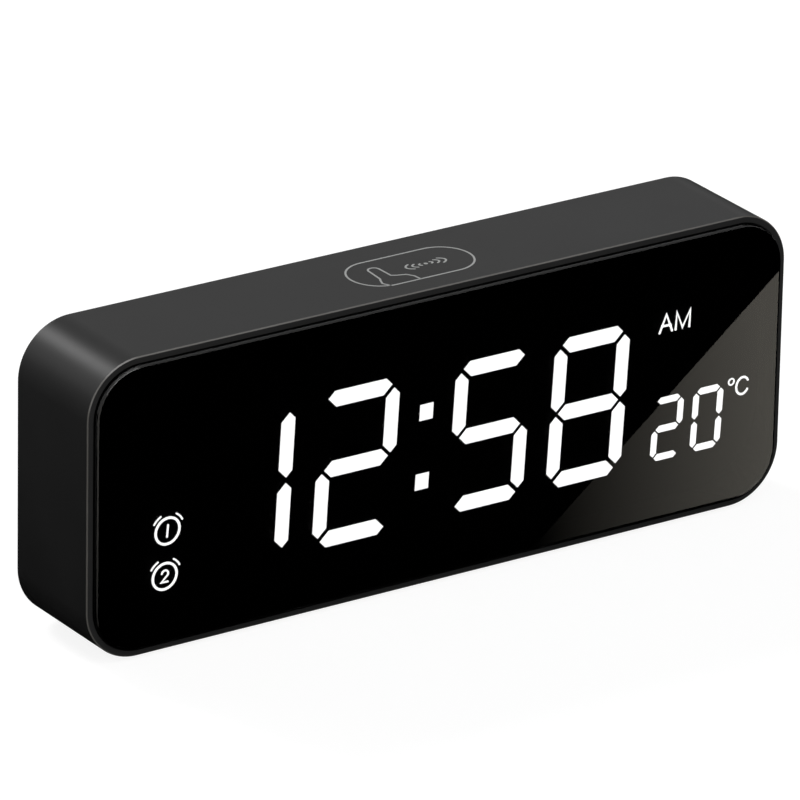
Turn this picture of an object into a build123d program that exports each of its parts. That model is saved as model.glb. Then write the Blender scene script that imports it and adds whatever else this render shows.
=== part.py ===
from build123d import *
from collections import namedtuple
from math import radians, sqrt, tan
import os

# Digital LED desk clock, in millimetres.
# X runs along the width, the display faces -Y, Z is up, and the feet stand on Z = 0.
# "Depth" is always measured from the front rim of the case towards the back.

# Flat sides that stand for small round features, inside the case and where they show
INNER_SIDES = 8
SHOWN_SIDES = 12

# Display layout: figures of pointed bars, slanted a little to the right
SLANT_ANGLE = 3.0
COLON_SHIFT = -3.98
COLON_RISE = 7.15
COLON_WIDTH = 3.05
COLON_HEIGHT = 3.3
PAIR_OFFSET = 26.64
HOURS_GROWTH = 1.03
FIGURE_PITCH = 23.0
FIGURE_HALF_WIDTH = 7.31
FIGURE_HALF_HEIGHT = 13.9
BAR_THICK = 3.2
UPRIGHT_THICK = 3.0
BAR_GAP = 0.27
UPRIGHT_GAP = 0.53
TIP_SHIFT = 0.24
FIGURE_DROP = 1.96
SMALL_OFFSET = 18.96
SMALL_PITCH = 9.47
SMALL_HALF_WIDTH = 2.9
SMALL_HALF_HEIGHT = 5.9
SMALL_THICK = 1.4
SMALL_GAP = 0.23
SMALL_TIP_SHIFT = 0.04
SMALL_DROP = 8.46
UNIT_OFFSET = 7.46
UNIT_RISE = 5.07
UNIT_WIDTH = 6.0
UNIT_HEIGHT = 5.6
MORNING_SHIFT = 1.03
MORNING_RISE = 13.76
MORNING_WIDTH = 9.4
MORNING_HEIGHT = 5.4
ALARM_OFFSET = 18.79
ALARM_DROP = 4.44
ALARM_PITCH = 9.2
ALARM_DIAMETER = 8.2

# Case: a moulded sleeve with a ledge behind the lens
RIM_WIDTH = 1.45
LEDGE_WIDTH = 4.0
LEDGE_THICK = 1.8
SIDE_MARGIN = 1.5
FACE_MARGIN = 14.535
CASE_CORNER = 11.3
CASE_WALL = 2.0
RIM_CHAMFER = 0.35
BACK_CHAMFER = 0.25
WINDOW_CORNER = 15.5
FOOT_DIAMETER = 7.0
FOOT_PROUD = 0.8
FOOT_SUNK = 0.6
FOOT_CHAMFER = 0.3
FOOT_INSET = 25.0
FOOT_SPAN = 13.0

# Lens and its adhesive ring
LENS_THICK = 2.0
LENS_PROUD = 1.0
LENS_CHAMFER = 0.6
LENS_CLEARANCE = 0.15
TAPE_THICK = 0.2
TAPE_MARGIN = 0.5

# Reflector block and boards
FACE_GAP = 0.3
WELL_DEPTH = 5.3
WELL_WALL = 0.8
WELL_STEP = 0.2
FRAME_CLEARANCE = 0.3
FLANGE_THICK = 1.2
SKIRT_WALL = 1.2
DIFFUSER_THICK = 1.8
DIFFUSER_CLEARANCE = 0.04
BOARD_THICK = 1.6
BOARD_CLEARANCE = 0.8
BOARD_SCREW_GAP = 3.6
BOARD_SCREW_INSET = 17.0
BOARD_SCREW_SHANK = 1.7
BOARD_SCREW_HEAD = 3.4
BOARD_SCREW_HEAD_HEIGHT = 1.3
BOARD_SCREW_GRIP = 3.6
BOARD_SCREW_BOSS = 4.4
LED_LENGTH = 1.6
LED_WIDTH = 0.8
LED_HEIGHT = 0.7
SCREW_PLAY = 0.05

# Corner posts and the long screws that clamp cover, board and case together
POST_INSET = 7.8
BOSS_DIAMETER = 6.4
BOSS_ROOM = 1.0
TUBE_DIAMETER = 6.8
TUBE_END = 2.0
SCREW_SHANK = 2.6
SCREW_HEAD = 4.6
SCREW_HEAD_HEIGHT = 1.8
SCREW_GRIP = 3.8
SCREW_CLEARANCE = 0.2

# Battery tray, cells and door
CELL_DIAMETER = 10.5
CELL_LENGTH = 44.5
CELL_NUB_DIAMETER = 3.8
CELL_NUB_HEIGHT = 0.8
CELL_COUNT = 3
CELL_SPACING = 0.7
CELL_PLAY = 0.12
SOLDER_GAP = 0.85
TRAY_FLOOR = 1.1
TRAY_WALL = 1.2
TRAY_SIDE_GAP = 15.0
TRAY_END_PLAY = 0.5
TRAY_RIB_WIDTH = 4.6
TRAY_RIB_HEIGHT = 2.2
CONTACT_THICK = 0.4
CONTACT_WIDTH = 8.0
CONTACT_HEIGHT = 8.4
CONTACT_TAIL = 2.0
CONTACT_DOME = 2.2
CONTACT_DOME_BASE = 6.0
CONTACT_DOME_TIP = 3.0
CONTACT_PLAY = 0.05
DOOR_THICK = 1.38
DOOR_SEAT = 1.6
DOOR_SEAT_GAP = 0.05
DOOR_CLEARANCE = 0.25
DOOR_CORNER = 2.0
TONGUE_WIDTH = 7.0
TONGUE_LENGTH = 1.2
TONGUE_SPREAD = 30.0
TONGUE_LIP = 0.6
TONGUE_CLEARANCE = 0.15
LATCH_WIDTH = 12.0
LATCH_LENGTH = 8.0
LATCH_PROUD = 0.8
LATCH_SLIT = 0.7
LATCH_NOTCH = 0.4
GRIP_COUNT = 3
GRIP_PITCH = 1.8
GRIP_WIDTH = 0.8
GRIP_HEIGHT = 0.35

# Rear cover
COVER_THICK = 2.0
COVER_RECESS = 1.0
COVER_LIP = 1.0
COVER_CLEARANCE = 0.15
COVER_CHAMFER = 0.3

# Keys, their switches and the board that carries them
KEY_NAMES = ("set", "mode", "alarm", "down", "up")
KEY_PITCH = 12.0
KEY_SIDE_GAP = 20.0
KEY_RISE = 8.0
KEY_LENGTH = 9.0
KEY_HEIGHT = 5.0
KEY_PROUD = 0.9
KEY_BEVEL = 1.2
KEY_EDGE = 0.4
KEY_CLEARANCE = 0.25
KEY_FLANGE_MARGIN = 1.0
KEY_FLANGE_THICK = 1.0
KEY_FLANGE_GAP = 0.1
KEY_STEM_DIAMETER = 3.0
KEY_STEM_LENGTH = 0.5
SWITCH_SIZE = 6.0
SWITCH_HEIGHT = 3.5
SWITCH_ROOF = 0.8
PLUNGER_DIAMETER = 3.4
PLUNGER_PROUD = 0.8
PLUNGER_COLLAR = 4.4
PLUNGER_COLLAR_THICK = 0.7
PLUNGER_CLEARANCE = 0.15
PLUNGER_ROOM = 0.9
KEY_BOARD_MARGIN = 3.4
KEY_BOARD_DROP = 7.0
KEY_POST_DIAMETER = 4.6
KEY_POST_GAP = 0.8
KEY_SCREW_SHANK = 1.7
KEY_SCREW_HEAD = 3.4
KEY_SCREW_HEAD_HEIGHT = 1.3
KEY_SCREW_GRIP = 4.2

# Power inlet
INLET_WIDTH = 8.94
INLET_HEIGHT = 3.26
INLET_WALL = 0.3
INLET_LENGTH = 7.3
INLET_CLEARANCE = 0.35
INLET_DROP = 13.0
INLET_BASE = 1.5
INLET_TONGUE_WIDTH = 6.7
INLET_TONGUE_THICK = 0.7
INLET_TONGUE_SHORT = 0.8
INLET_PLAY = 0.05
INLET_BOARD_WIDTH = 18.0

# Parts on the main board
SOUNDER_DIAMETER = 12.0
SOUNDER_HEIGHT = 8.5
SOUNDER_BORE = 2.0
SOUNDER_BORE_DEPTH = 3.0
SOUNDER_SHIFT = 46.0
SOUNDER_DROP = 13.0
SOUND_TUBE_CLEARANCE = 0.6
SOUND_TUBE_WALL = 1.0
SOUND_TUBE_OVERLAP = 1.2
SOUND_HOLE = 1.5
SOUND_HOLE_RING = 3.6
SOUND_HOLE_COUNT = 6
CHIP_LENGTH = 10.3
CHIP_WIDTH = 7.5
CHIP_HEIGHT = 2.3
CHIP_LIFT = 0.2
CHIP_LEAD_COUNT = 8
CHIP_LEAD_PITCH = 1.27
CHIP_LEAD_WIDTH = 0.4
CHIP_LEAD_REACH = 1.1
CHIP_LEAD_HEIGHT = 1.1
CHIP_SHIFT = 27.0
CHIP_DROP = 9.0
CRYSTAL_LENGTH = 11.0
CRYSTAL_WIDTH = 4.6
CRYSTAL_HEIGHT = 3.5
CRYSTAL_FLANGE = 0.4
CRYSTAL_FLANGE_THICK = 0.6
CRYSTAL_BEVEL = 1.2
CRYSTAL_DROP = 20.5
CAPACITOR_DIAMETER = 6.3
CAPACITOR_HEIGHT = 7.0
CAPACITOR_GROOVE = 0.4
CAPACITOR_GROOVE_RISE = 1.6
CAPACITOR_SIDE_GAP = 17.0
CAPACITOR_DROP = 15.0
SENSOR_DIAMETER = 3.0
SENSOR_LENGTH = 2.6
SENSOR_BEVEL = 0.6
SENSOR_REACH = 7.0
SENSOR_LEAD = 0.5
SENSOR_LEAD_PITCH = 1.4
SENSOR_SIDE_GAP = 9.0
SENSOR_DROP = 3.0
VENT_WIDTH = 7.0
VENT_HEIGHT = 1.2
VENT_PITCH = 3.0
VENT_COUNT = 3
HEADER_LENGTH = 12.7
HEADER_WIDTH = 4.5
HEADER_CHAMFER = 0.4

# Touch sensor under the top wall
TOUCH_LENGTH = 27.5
TOUCH_WIDTH = 13.0
TOUCH_BEVEL = 3.8
TOUCH_THICK = 0.3
SPRING_WIDTH = 3.0
SPRING_THICK = 0.3
SPRING_FOOT = 4.0
SPRING_BEND = 0.8
SPRING_RISE = 7.0
SPRING_REACH = 4.0
SPRING_TIP = 2.0
SPRING_TIP_DIP = 1.0
SPRING_PLAY = 0.02

# Depths of the layers, front to back
LENS_BACK = LENS_THICK - LENS_PROUD
LEDGE_FRONT = LENS_BACK + TAPE_THICK
LEDGE_BACK = LEDGE_FRONT + LEDGE_THICK
FACE_FRONT = LENS_BACK + FACE_GAP
FLANGE_BACK = LEDGE_BACK + FLANGE_THICK
DIFFUSER_BACK = FACE_FRONT + DIFFUSER_THICK
BOARD_FRONT = LEDGE_BACK + WELL_DEPTH
BOARD_BACK = BOARD_FRONT + BOARD_THICK
TRAY_BOTTOM = BOARD_BACK + SOLDER_GAP
TRAY_INSIDE = TRAY_BOTTOM + TRAY_FLOOR
CELL_MIDDLE = TRAY_INSIDE + CELL_PLAY + CELL_DIAMETER / 2
DOOR_INNER = CELL_MIDDLE + CELL_DIAMETER / 2 + CELL_PLAY
COVER_OUTER = DOOR_INNER + DOOR_THICK
COVER_INNER = COVER_OUTER - COVER_THICK
CASE_DEPTH = COVER_OUTER + COVER_RECESS
FLANGE_OUTER = COVER_INNER - KEY_FLANGE_GAP
FLANGE_INNER = FLANGE_OUTER - KEY_FLANGE_THICK
PLUNGER_TIP = FLANGE_INNER - KEY_STEM_LENGTH
SWITCH_TOP = PLUNGER_TIP - PLUNGER_PROUD
KEY_BOARD_BACK = SWITCH_TOP - SWITCH_HEIGHT
KEY_BOARD_FRONT = KEY_BOARD_BACK - BOARD_THICK

# Places of the figures across the display, from the colon outwards
FIGURE_MIDDLE = -FIGURE_DROP
FIGURE_X = (
    COLON_SHIFT - HOURS_GROWTH * (PAIR_OFFSET + FIGURE_PITCH / 2),
    COLON_SHIFT - HOURS_GROWTH * (PAIR_OFFSET - FIGURE_PITCH / 2),
    COLON_SHIFT + PAIR_OFFSET - FIGURE_PITCH / 2,
    COLON_SHIFT + PAIR_OFFSET + FIGURE_PITCH / 2,
)
SMALL_X = (FIGURE_X[3] + SMALL_OFFSET, FIGURE_X[3] + SMALL_OFFSET + SMALL_PITCH)
SMALL_MIDDLE = FIGURE_MIDDLE - SMALL_DROP
UNIT_X = SMALL_X[1] + UNIT_OFFSET
UNIT_Z = SMALL_MIDDLE + UNIT_RISE
MORNING_X = SMALL_X[0] + MORNING_SHIFT
MORNING_Z = FIGURE_MIDDLE + MORNING_RISE
ALARM_X = FIGURE_X[0] - ALARM_OFFSET
ALARM_Z = FIGURE_MIDDLE - ALARM_DROP
SLANT = tan(radians(SLANT_ANGLE))

# Overall sizes: the display sets the width and height, the layers set the depth
FIGURE_HEIGHT = HOURS_GROWTH * (2 * FIGURE_HALF_HEIGHT + BAR_THICK)
CASE_WIDTH = 2 * (UNIT_X + UNIT_WIDTH / 2 + SIDE_MARGIN + LEDGE_WIDTH + RIM_WIDTH)
CASE_HEIGHT = FIGURE_HEIGHT + 2 * FACE_MARGIN
CASE_MIDDLE = FOOT_PROUD + CASE_HEIGHT / 2
RIM_Y = LENS_PROUD - (LENS_PROUD + CASE_DEPTH) / 2
LENS_WIDTH = CASE_WIDTH - 2 * RIM_WIDTH
LENS_HEIGHT = CASE_HEIGHT - 2 * RIM_WIDTH
LENS_CORNER = CASE_CORNER - RIM_WIDTH
WINDOW_WIDTH = LENS_WIDTH - 2 * LEDGE_WIDTH
WINDOW_HEIGHT = LENS_HEIGHT - 2 * LEDGE_WIDTH
CAVITY_WIDTH = CASE_WIDTH - 2 * CASE_WALL
CAVITY_HEIGHT = CASE_HEIGHT - 2 * CASE_WALL
CAVITY_CORNER = CASE_CORNER - CASE_WALL
BOARD_WIDTH = CAVITY_WIDTH - 2 * BOARD_CLEARANCE
BOARD_HEIGHT = CAVITY_HEIGHT - 2 * BOARD_CLEARANCE
BOARD_CORNER = CAVITY_CORNER - BOARD_CLEARANCE
SEAT_WIDTH = CASE_WIDTH - 2 * COVER_LIP
SEAT_HEIGHT = CASE_HEIGHT - 2 * COVER_LIP
SEAT_CORNER = CASE_CORNER - COVER_LIP
SOUND_TUBE_BORE = SOUNDER_DIAMETER + 2 * SOUND_TUBE_CLEARANCE
POST_X = CASE_WIDTH / 2 - POST_INSET
POST_Z = CASE_HEIGHT / 2 - POST_INSET

# Battery tray: cells lie along X in one stack, every second one turned round
CELL_PITCH = CELL_DIAMETER + CELL_SPACING
TRAY_LENGTH = 2 * CONTACT_THICK + 2 * CONTACT_PLAY + CELL_LENGTH + CONTACT_DOME
TRAY_HEIGHT = CELL_COUNT * CELL_PITCH - CELL_SPACING + 2 * TRAY_END_PLAY
TRAY_X = TRAY_SIDE_GAP + TRAY_WALL + TRAY_LENGTH / 2 - CASE_WIDTH / 2
CELL_Z = [CELL_PITCH * (row - (CELL_COUNT - 1) / 2) for row in range(CELL_COUNT)]
DOOR_WIDTH = TRAY_LENGTH + 2 * DOOR_SEAT
DOOR_HEIGHT = TRAY_HEIGHT + 2 * DOOR_SEAT

# Keys and the L-shaped board under them
KEY_X = [CASE_WIDTH / 2 - KEY_SIDE_GAP - KEY_PITCH * place for place in range(len(KEY_NAMES))]
KEY_MIDDLE = sum(KEY_X) / len(KEY_X)
KEY_POST_Z = KEY_RISE + KEY_HEIGHT / 2 + KEY_FLANGE_MARGIN + KEY_POST_GAP + KEY_POST_DIAMETER / 2
INLET_X = (KEY_X[0] + KEY_X[1]) / 2 - KEY_PITCH / 2
INLET_POST_Z = -INLET_DROP - INLET_HEIGHT / 2 - KEY_POST_GAP - KEY_POST_DIAMETER / 2
KEY_POSTS = [
    ((KEY_X[0] + KEY_X[1]) / 2, KEY_POST_Z),
    ((KEY_X[-2] + KEY_X[-1]) / 2, KEY_POST_Z),
    (INLET_X, INLET_POST_Z),
]
KEY_BOARD_WIDTH = KEY_X[0] - KEY_X[-1] + SWITCH_SIZE + 2 * KEY_BOARD_MARGIN
KEY_BOARD_TOP = KEY_POST_Z + KEY_POST_DIAMETER / 2
KEY_BOARD_LOW = KEY_RISE - KEY_BOARD_DROP
INLET_BOARD_LOW = INLET_POST_Z - KEY_POST_DIAMETER / 2
INLET_MOUTH = KEY_BOARD_BACK + INLET_LENGTH

# Places of the parts on the main board
SOUNDER_X = KEY_X[0] - SOUNDER_SHIFT
CHIP_X = KEY_X[0] - CHIP_SHIFT
CAPACITOR_X = CASE_WIDTH / 2 - CAPACITOR_SIDE_GAP
SENSOR_X = CASE_WIDTH / 2 - SENSOR_SIDE_GAP
BOARD_SCREW_X = CASE_WIDTH / 2 - BOARD_SCREW_INSET
BOARD_SCREW_CLEAR = max(FIGURE_DROP + FIGURE_HEIGHT / 2 + WELL_WALL, TRAY_HEIGHT / 2 + TRAY_WALL)
BOARD_SCREW_Z = BOARD_SCREW_CLEAR + BOARD_SCREW_GAP

# Figures that the display shows, each of seven bars, the hours a little larger than the minutes
Figure = namedtuple("Figure", "shown x z half_width half_height bar upright bar_gap upright_gap tip")
BARS = {
    "a": (0, 1, False),
    "b": (1, 0.5, True),
    "c": (1, -0.5, True),
    "d": (0, -1, False),
    "e": (-1, -0.5, True),
    "f": (-1, 0.5, True),
    "g": (0, 0, False),
}
LIT_BARS = {"0": "abcdef", "1": "bc", "2": "abdeg", "5": "acdfg", "8": "abcdefg"}
MINUTES = (
    FIGURE_HALF_WIDTH,
    FIGURE_HALF_HEIGHT,
    BAR_THICK,
    UPRIGHT_THICK,
    BAR_GAP,
    UPRIGHT_GAP,
    TIP_SHIFT,
)
HOURS = [HOURS_GROWTH * size for size in MINUTES]
SMALL = (
    SMALL_HALF_WIDTH,
    SMALL_HALF_HEIGHT,
    SMALL_THICK,
    SMALL_THICK,
    SMALL_GAP,
    SMALL_GAP,
    SMALL_TIP_SHIFT,
)
LARGE_FIGURES = [
    Figure(shown, x, FIGURE_MIDDLE, *sizes)
    for shown, x, sizes in zip("1258", FIGURE_X, (HOURS, HOURS, MINUTES, MINUTES))
]
SMALL_FIGURES = [Figure(shown, x, SMALL_MIDDLE, *SMALL) for shown, x in zip("20", SMALL_X)]
FIGURES = LARGE_FIGURES + SMALL_FIGURES
ALL_STATES = (True, False)


def facing_front(depth):
    """Plane at a depth behind the rim, seen from the front: local x is right, local y is up."""
    return Plane(origin=(0, RIM_Y + depth, CASE_MIDDLE), x_dir=(1, 0, 0), z_dir=(0, -1, 0))


def facing_right(x):
    """Plane across the clock at a place along its width: local x is depth, local y is up."""
    return Plane(origin=(x, RIM_Y, CASE_MIDDLE), x_dir=(0, 1, 0), z_dir=(1, 0, 0))


def draw_round(diameter, sides=INNER_SIDES, mode=Mode.ADD):
    """Draws a small round feature with a few flat sides in the open sketch."""
    RegularPolygon(diameter / 2, sides, mode=mode)


def bar_middle(figure, name):
    """Middle of one bar of a figure, with the figure's slant."""
    across, up, _ = BARS[name]
    rise = up * figure.half_height
    return figure.x + across * figure.half_width + rise * SLANT, figure.z + rise


def bar_corners(figure, name, grow):
    """Corners of one pointed bar, its tips moved towards the figure's outside, grown all round by an offset."""
    across, up, upright = BARS[name]
    if upright:
        half_length = figure.half_height / 2 - figure.upright_gap + grow * sqrt(2)
        half_thick = figure.upright / 2 + grow
        tip = -across * figure.tip
    else:
        half_length = figure.half_width - figure.bar_gap + grow * sqrt(2)
        half_thick = figure.bar / 2 + grow
        tip = up * figure.tip
    shoulder = half_length - half_thick
    outline = (
        (-half_length, tip),
        (-shoulder - tip, half_thick),
        (shoulder + tip, half_thick),
        (half_length, tip),
        (shoulder - tip, -half_thick),
        (tip - shoulder, -half_thick),
    )
    middle_x, middle_z = bar_middle(figure, name)
    turned = [(-v, u) if upright else (u, v) for u, v in outline]
    return [(middle_x + x + z * SLANT, middle_z + z) for x, z in turned]


def slanted_box(x, z, half_width, half_height):
    """Corners of a box around a point, leaning with the figures."""
    corners = []
    for across, up in ((-1, -1), (1, -1), (1, 1), (-1, 1)):
        rise = up * half_height
        corners.append((x + across * half_width + rise * SLANT, z + rise))
    return corners


def draw_colon(grow):
    """Draws the two dots of the colon in the open sketch, grown all round by an offset."""
    for rise in (-COLON_RISE, COLON_RISE):
        middle = (COLON_SHIFT + rise * SLANT, FIGURE_MIDDLE + rise)
        Polygon(*slanted_box(*middle, COLON_WIDTH / 2 + grow, COLON_HEIGHT / 2 + grow), align=None)


def draw_bars(grow, states, figures=FIGURES):
    """Draws the bars of the chosen states and figures in the open sketch; the colon counts as lit."""
    for figure in figures:
        for name in BARS:
            if (name in LIT_BARS[figure.shown]) in states:
                Polygon(*bar_corners(figure, name, grow), align=None)
    if True in states:
        draw_colon(grow)


def draw_blocks():
    """Draws the outline of the block around each figure in the open sketch, hollow inside a large figure."""
    for figure in FIGURES:
        half_width = figure.half_width + figure.upright / 2 + WELL_WALL
        half_height = figure.half_height + figure.bar / 2 + WELL_WALL
        Polygon(*slanted_box(figure.x, figure.z, half_width, half_height), align=None)
    for figure in LARGE_FIGURES:
        for rise in (-figure.half_height / 2, figure.half_height / 2):
            middle = (figure.x + rise * SLANT, figure.z + rise)
            half_width = figure.half_width - figure.upright / 2 - WELL_WALL
            half_height = (figure.half_height - figure.bar) / 2 - WELL_WALL
            Polygon(*slanted_box(*middle, half_width, half_height), align=None, mode=Mode.SUBTRACT)
    draw_colon(WELL_WALL)


def draw_signs(grow):
    """Draws the windows of the small signs in the open sketch, grown all round by an offset."""
    with Locations((MORNING_X, MORNING_Z)):
        Rectangle(MORNING_WIDTH + 2 * grow, MORNING_HEIGHT + 2 * grow)
    with Locations((UNIT_X, UNIT_Z)):
        Rectangle(UNIT_WIDTH + 2 * grow, UNIT_HEIGHT + 2 * grow)
    alarm_places = [(ALARM_X, ALARM_Z), (ALARM_X - ALARM_PITCH * SLANT, ALARM_Z - ALARM_PITCH)]
    with Locations(*alarm_places):
        draw_round(ALARM_DIAMETER + 2 * grow)


def draw_bevelled(length, width, bevel):
    """Draws a rectangle with bevelled corners in the open sketch."""
    reach_x = length / 2
    reach_y = width / 2
    Polygon(
        (reach_x, bevel - reach_y),
        (reach_x, reach_y - bevel),
        (reach_x - bevel, reach_y),
        (bevel - reach_x, reach_y),
        (-reach_x, reach_y - bevel),
        (-reach_x, bevel - reach_y),
        (bevel - reach_x, -reach_y),
        (reach_x - bevel, -reach_y),
        align=None,
    )


def draw_key(grow):
    """Draws a key's outline in the open sketch, grown all round by an offset."""
    draw_bevelled(KEY_LENGTH + 2 * grow, KEY_HEIGHT + 2 * grow, KEY_BEVEL)


def led_places():
    """Place and quarter turn of every LED, one behind each bar, dot and sign."""
    places = [(*bar_middle(figure, name), BARS[name][2]) for figure in FIGURES for name in BARS]
    for rise in (-COLON_RISE, COLON_RISE):
        places.append((COLON_SHIFT + rise * SLANT, FIGURE_MIDDLE + rise, False))
    places.append((MORNING_X, MORNING_Z, False))
    places.append((UNIT_X, UNIT_Z, False))
    places.append((ALARM_X, ALARM_Z, False))
    places.append((ALARM_X - ALARM_PITCH * SLANT, ALARM_Z - ALARM_PITCH, False))
    return places


def finish(piece, name):
    """Labels a finished piece and writes it to its own file."""
    piece.part.label = name
    export_step(piece.part, f"parts/{name}.step")


os.makedirs("parts", exist_ok=True)

# Case shell: sleeve, rim, lens pocket, ledge, cover seat, screw bosses and foot recesses
with BuildPart() as case_shell:
    with BuildSketch(facing_front(CASE_DEPTH)):
        RectangleRounded(CASE_WIDTH, CASE_HEIGHT, CASE_CORNER)
    extrude(amount=CASE_DEPTH)
    chamfer(case_shell.faces().sort_by(Axis.Y)[0].edges(), RIM_CHAMFER)
    chamfer(case_shell.faces().sort_by(Axis.Y)[-1].edges(), BACK_CHAMFER)
    with BuildSketch(facing_front(LEDGE_FRONT)):
        RectangleRounded(
            LENS_WIDTH + 2 * LENS_CLEARANCE,
            LENS_HEIGHT + 2 * LENS_CLEARANCE,
            LENS_CORNER + LENS_CLEARANCE,
        )
    extrude(amount=LEDGE_FRONT, mode=Mode.SUBTRACT)
    with BuildSketch(facing_front(LEDGE_BACK)):
        RectangleRounded(WINDOW_WIDTH, WINDOW_HEIGHT, WINDOW_CORNER)
    extrude(amount=LEDGE_BACK, mode=Mode.SUBTRACT)
    with BuildSketch(facing_front(CASE_DEPTH)):
        RectangleRounded(CAVITY_WIDTH, CAVITY_HEIGHT, CAVITY_CORNER)
    extrude(amount=CASE_DEPTH - LEDGE_BACK, mode=Mode.SUBTRACT)
    with BuildSketch(facing_front(CASE_DEPTH)):
        RectangleRounded(SEAT_WIDTH, SEAT_HEIGHT, SEAT_CORNER)
    extrude(amount=CASE_DEPTH - COVER_INNER, mode=Mode.SUBTRACT)
    with BuildSketch(facing_front(BOARD_FRONT)):
        with GridLocations(2 * POST_X, 2 * POST_Z, 2, 2):
            draw_round(BOSS_DIAMETER)
    extrude(amount=BOARD_FRONT - LEDGE_BACK)
    with BuildSketch(facing_front(BOARD_FRONT)):
        with GridLocations(2 * POST_X, 2 * POST_Z, 2, 2):
            draw_round(SCREW_SHANK + 2 * SCREW_PLAY)
    extrude(amount=SCREW_GRIP + SCREW_CLEARANCE, mode=Mode.SUBTRACT)
    with BuildSketch(Plane((0, RIM_Y + CASE_DEPTH / 2, FOOT_PROUD))):
        with GridLocations(CASE_WIDTH - 2 * FOOT_INSET, FOOT_SPAN, 2, 2):
            draw_round(FOOT_DIAMETER, SHOWN_SIDES)
    extrude(amount=FOOT_SUNK, mode=Mode.SUBTRACT)
finish(case_shell, "case_shell")

# Rubber feet, set into the bottom wall
with BuildPart() as rubber_feet:
    with BuildSketch(Plane((0, RIM_Y + CASE_DEPTH / 2, 0))):
        with GridLocations(CASE_WIDTH - 2 * FOOT_INSET, FOOT_SPAN, 2, 2):
            draw_round(FOOT_DIAMETER, SHOWN_SIDES)
    extrude(amount=FOOT_PROUD + FOOT_SUNK)
    chamfer(rubber_feet.edges().group_by(Axis.Z)[0], FOOT_CHAMFER)
finish(rubber_feet, "rubber_feet")

# Smoked lens, proud of the rim, with a chamfered front edge
with BuildPart() as display_lens:
    with BuildSketch(facing_front(LENS_BACK)):
        RectangleRounded(LENS_WIDTH, LENS_HEIGHT, LENS_CORNER)
    extrude(amount=LENS_THICK)
    chamfer(display_lens.faces().sort_by(Axis.Y)[0].edges(), LENS_CHAMFER)
finish(display_lens, "display_lens")

# Adhesive ring between the lens and its ledge
with BuildPart() as lens_tape:
    with BuildSketch(facing_front(LEDGE_FRONT)):
        RectangleRounded(
            LENS_WIDTH - 2 * TAPE_MARGIN,
            LENS_HEIGHT - 2 * TAPE_MARGIN,
            LENS_CORNER - TAPE_MARGIN,
        )
        RectangleRounded(WINDOW_WIDTH, WINDOW_HEIGHT, WINDOW_CORNER, mode=Mode.SUBTRACT)
    extrude(amount=TAPE_THICK)
finish(lens_tape, "lens_tape")

# Reflector block: face plate, flange on the ledge, skirt, figure blocks and a well for every bar and sign
with BuildPart() as digit_frame:
    with BuildSketch(facing_front(LEDGE_BACK)):
        RectangleRounded(
            WINDOW_WIDTH - 2 * FRAME_CLEARANCE,
            WINDOW_HEIGHT - 2 * FRAME_CLEARANCE,
            WINDOW_CORNER - FRAME_CLEARANCE,
        )
    extrude(amount=LEDGE_BACK - FACE_FRONT)
    with BuildSketch(facing_front(BOARD_FRONT)):
        RectangleRounded(BOARD_WIDTH, BOARD_HEIGHT, BOARD_CORNER)
        with GridLocations(2 * POST_X, 2 * POST_Z, 2, 2):
            draw_round(BOSS_DIAMETER + 2 * BOSS_ROOM, mode=Mode.SUBTRACT)
    extrude(amount=BOARD_FRONT - LEDGE_BACK)
    with BuildSketch(facing_front(BOARD_FRONT)):
        RectangleRounded(
            BOARD_WIDTH - 2 * SKIRT_WALL,
            BOARD_HEIGHT - 2 * SKIRT_WALL,
            BOARD_CORNER - SKIRT_WALL,
        )
    extrude(amount=BOARD_FRONT - FLANGE_BACK, mode=Mode.SUBTRACT)
    with BuildSketch(facing_front(BOARD_FRONT)):
        draw_blocks()
    extrude(amount=BOARD_FRONT - FLANGE_BACK)
    with BuildSketch(facing_front(BOARD_FRONT)):
        draw_signs(WELL_WALL)
        with GridLocations(2 * BOARD_SCREW_X, 2 * BOARD_SCREW_Z, 2, 2):
            draw_round(BOARD_SCREW_BOSS)
    extrude(amount=BOARD_FRONT - FLANGE_BACK)
    with BuildSketch(facing_front(BOARD_FRONT)):
        draw_bars(-WELL_STEP, ALL_STATES, LARGE_FIGURES)
        draw_bars(DIFFUSER_CLEARANCE, ALL_STATES, SMALL_FIGURES)
        draw_signs(-WELL_STEP)
    extrude(amount=BOARD_FRONT - FACE_FRONT, mode=Mode.SUBTRACT)
    with BuildSketch(facing_front(DIFFUSER_BACK)):
        draw_bars(DIFFUSER_CLEARANCE, ALL_STATES)
        draw_signs(DIFFUSER_CLEARANCE)
    extrude(amount=DIFFUSER_THICK, mode=Mode.SUBTRACT)
    with BuildSketch(facing_front(BOARD_FRONT)):
        with GridLocations(2 * BOARD_SCREW_X, 2 * BOARD_SCREW_Z, 2, 2):
            draw_round(BOARD_SCREW_SHANK + 2 * SCREW_PLAY)
    extrude(amount=BOARD_SCREW_GRIP + SCREW_CLEARANCE, mode=Mode.SUBTRACT)
finish(digit_frame, "digit_frame")

# Light bars that glow now, light bars that are dark now, and the windows of the small signs
with BuildPart() as lit_segments:
    with BuildSketch(facing_front(DIFFUSER_BACK)):
        draw_bars(0, (True,))
    extrude(amount=DIFFUSER_THICK)
finish(lit_segments, "lit_segments")

with BuildPart() as unlit_segments:
    with BuildSketch(facing_front(DIFFUSER_BACK)):
        draw_bars(0, (False,))
    extrude(amount=DIFFUSER_THICK)
finish(unlit_segments, "unlit_segments")

with BuildPart() as indicator_diffusers:
    with BuildSketch(facing_front(DIFFUSER_BACK)):
        draw_signs(0)
    extrude(amount=DIFFUSER_THICK)
finish(indicator_diffusers, "indicator_diffusers")

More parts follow.
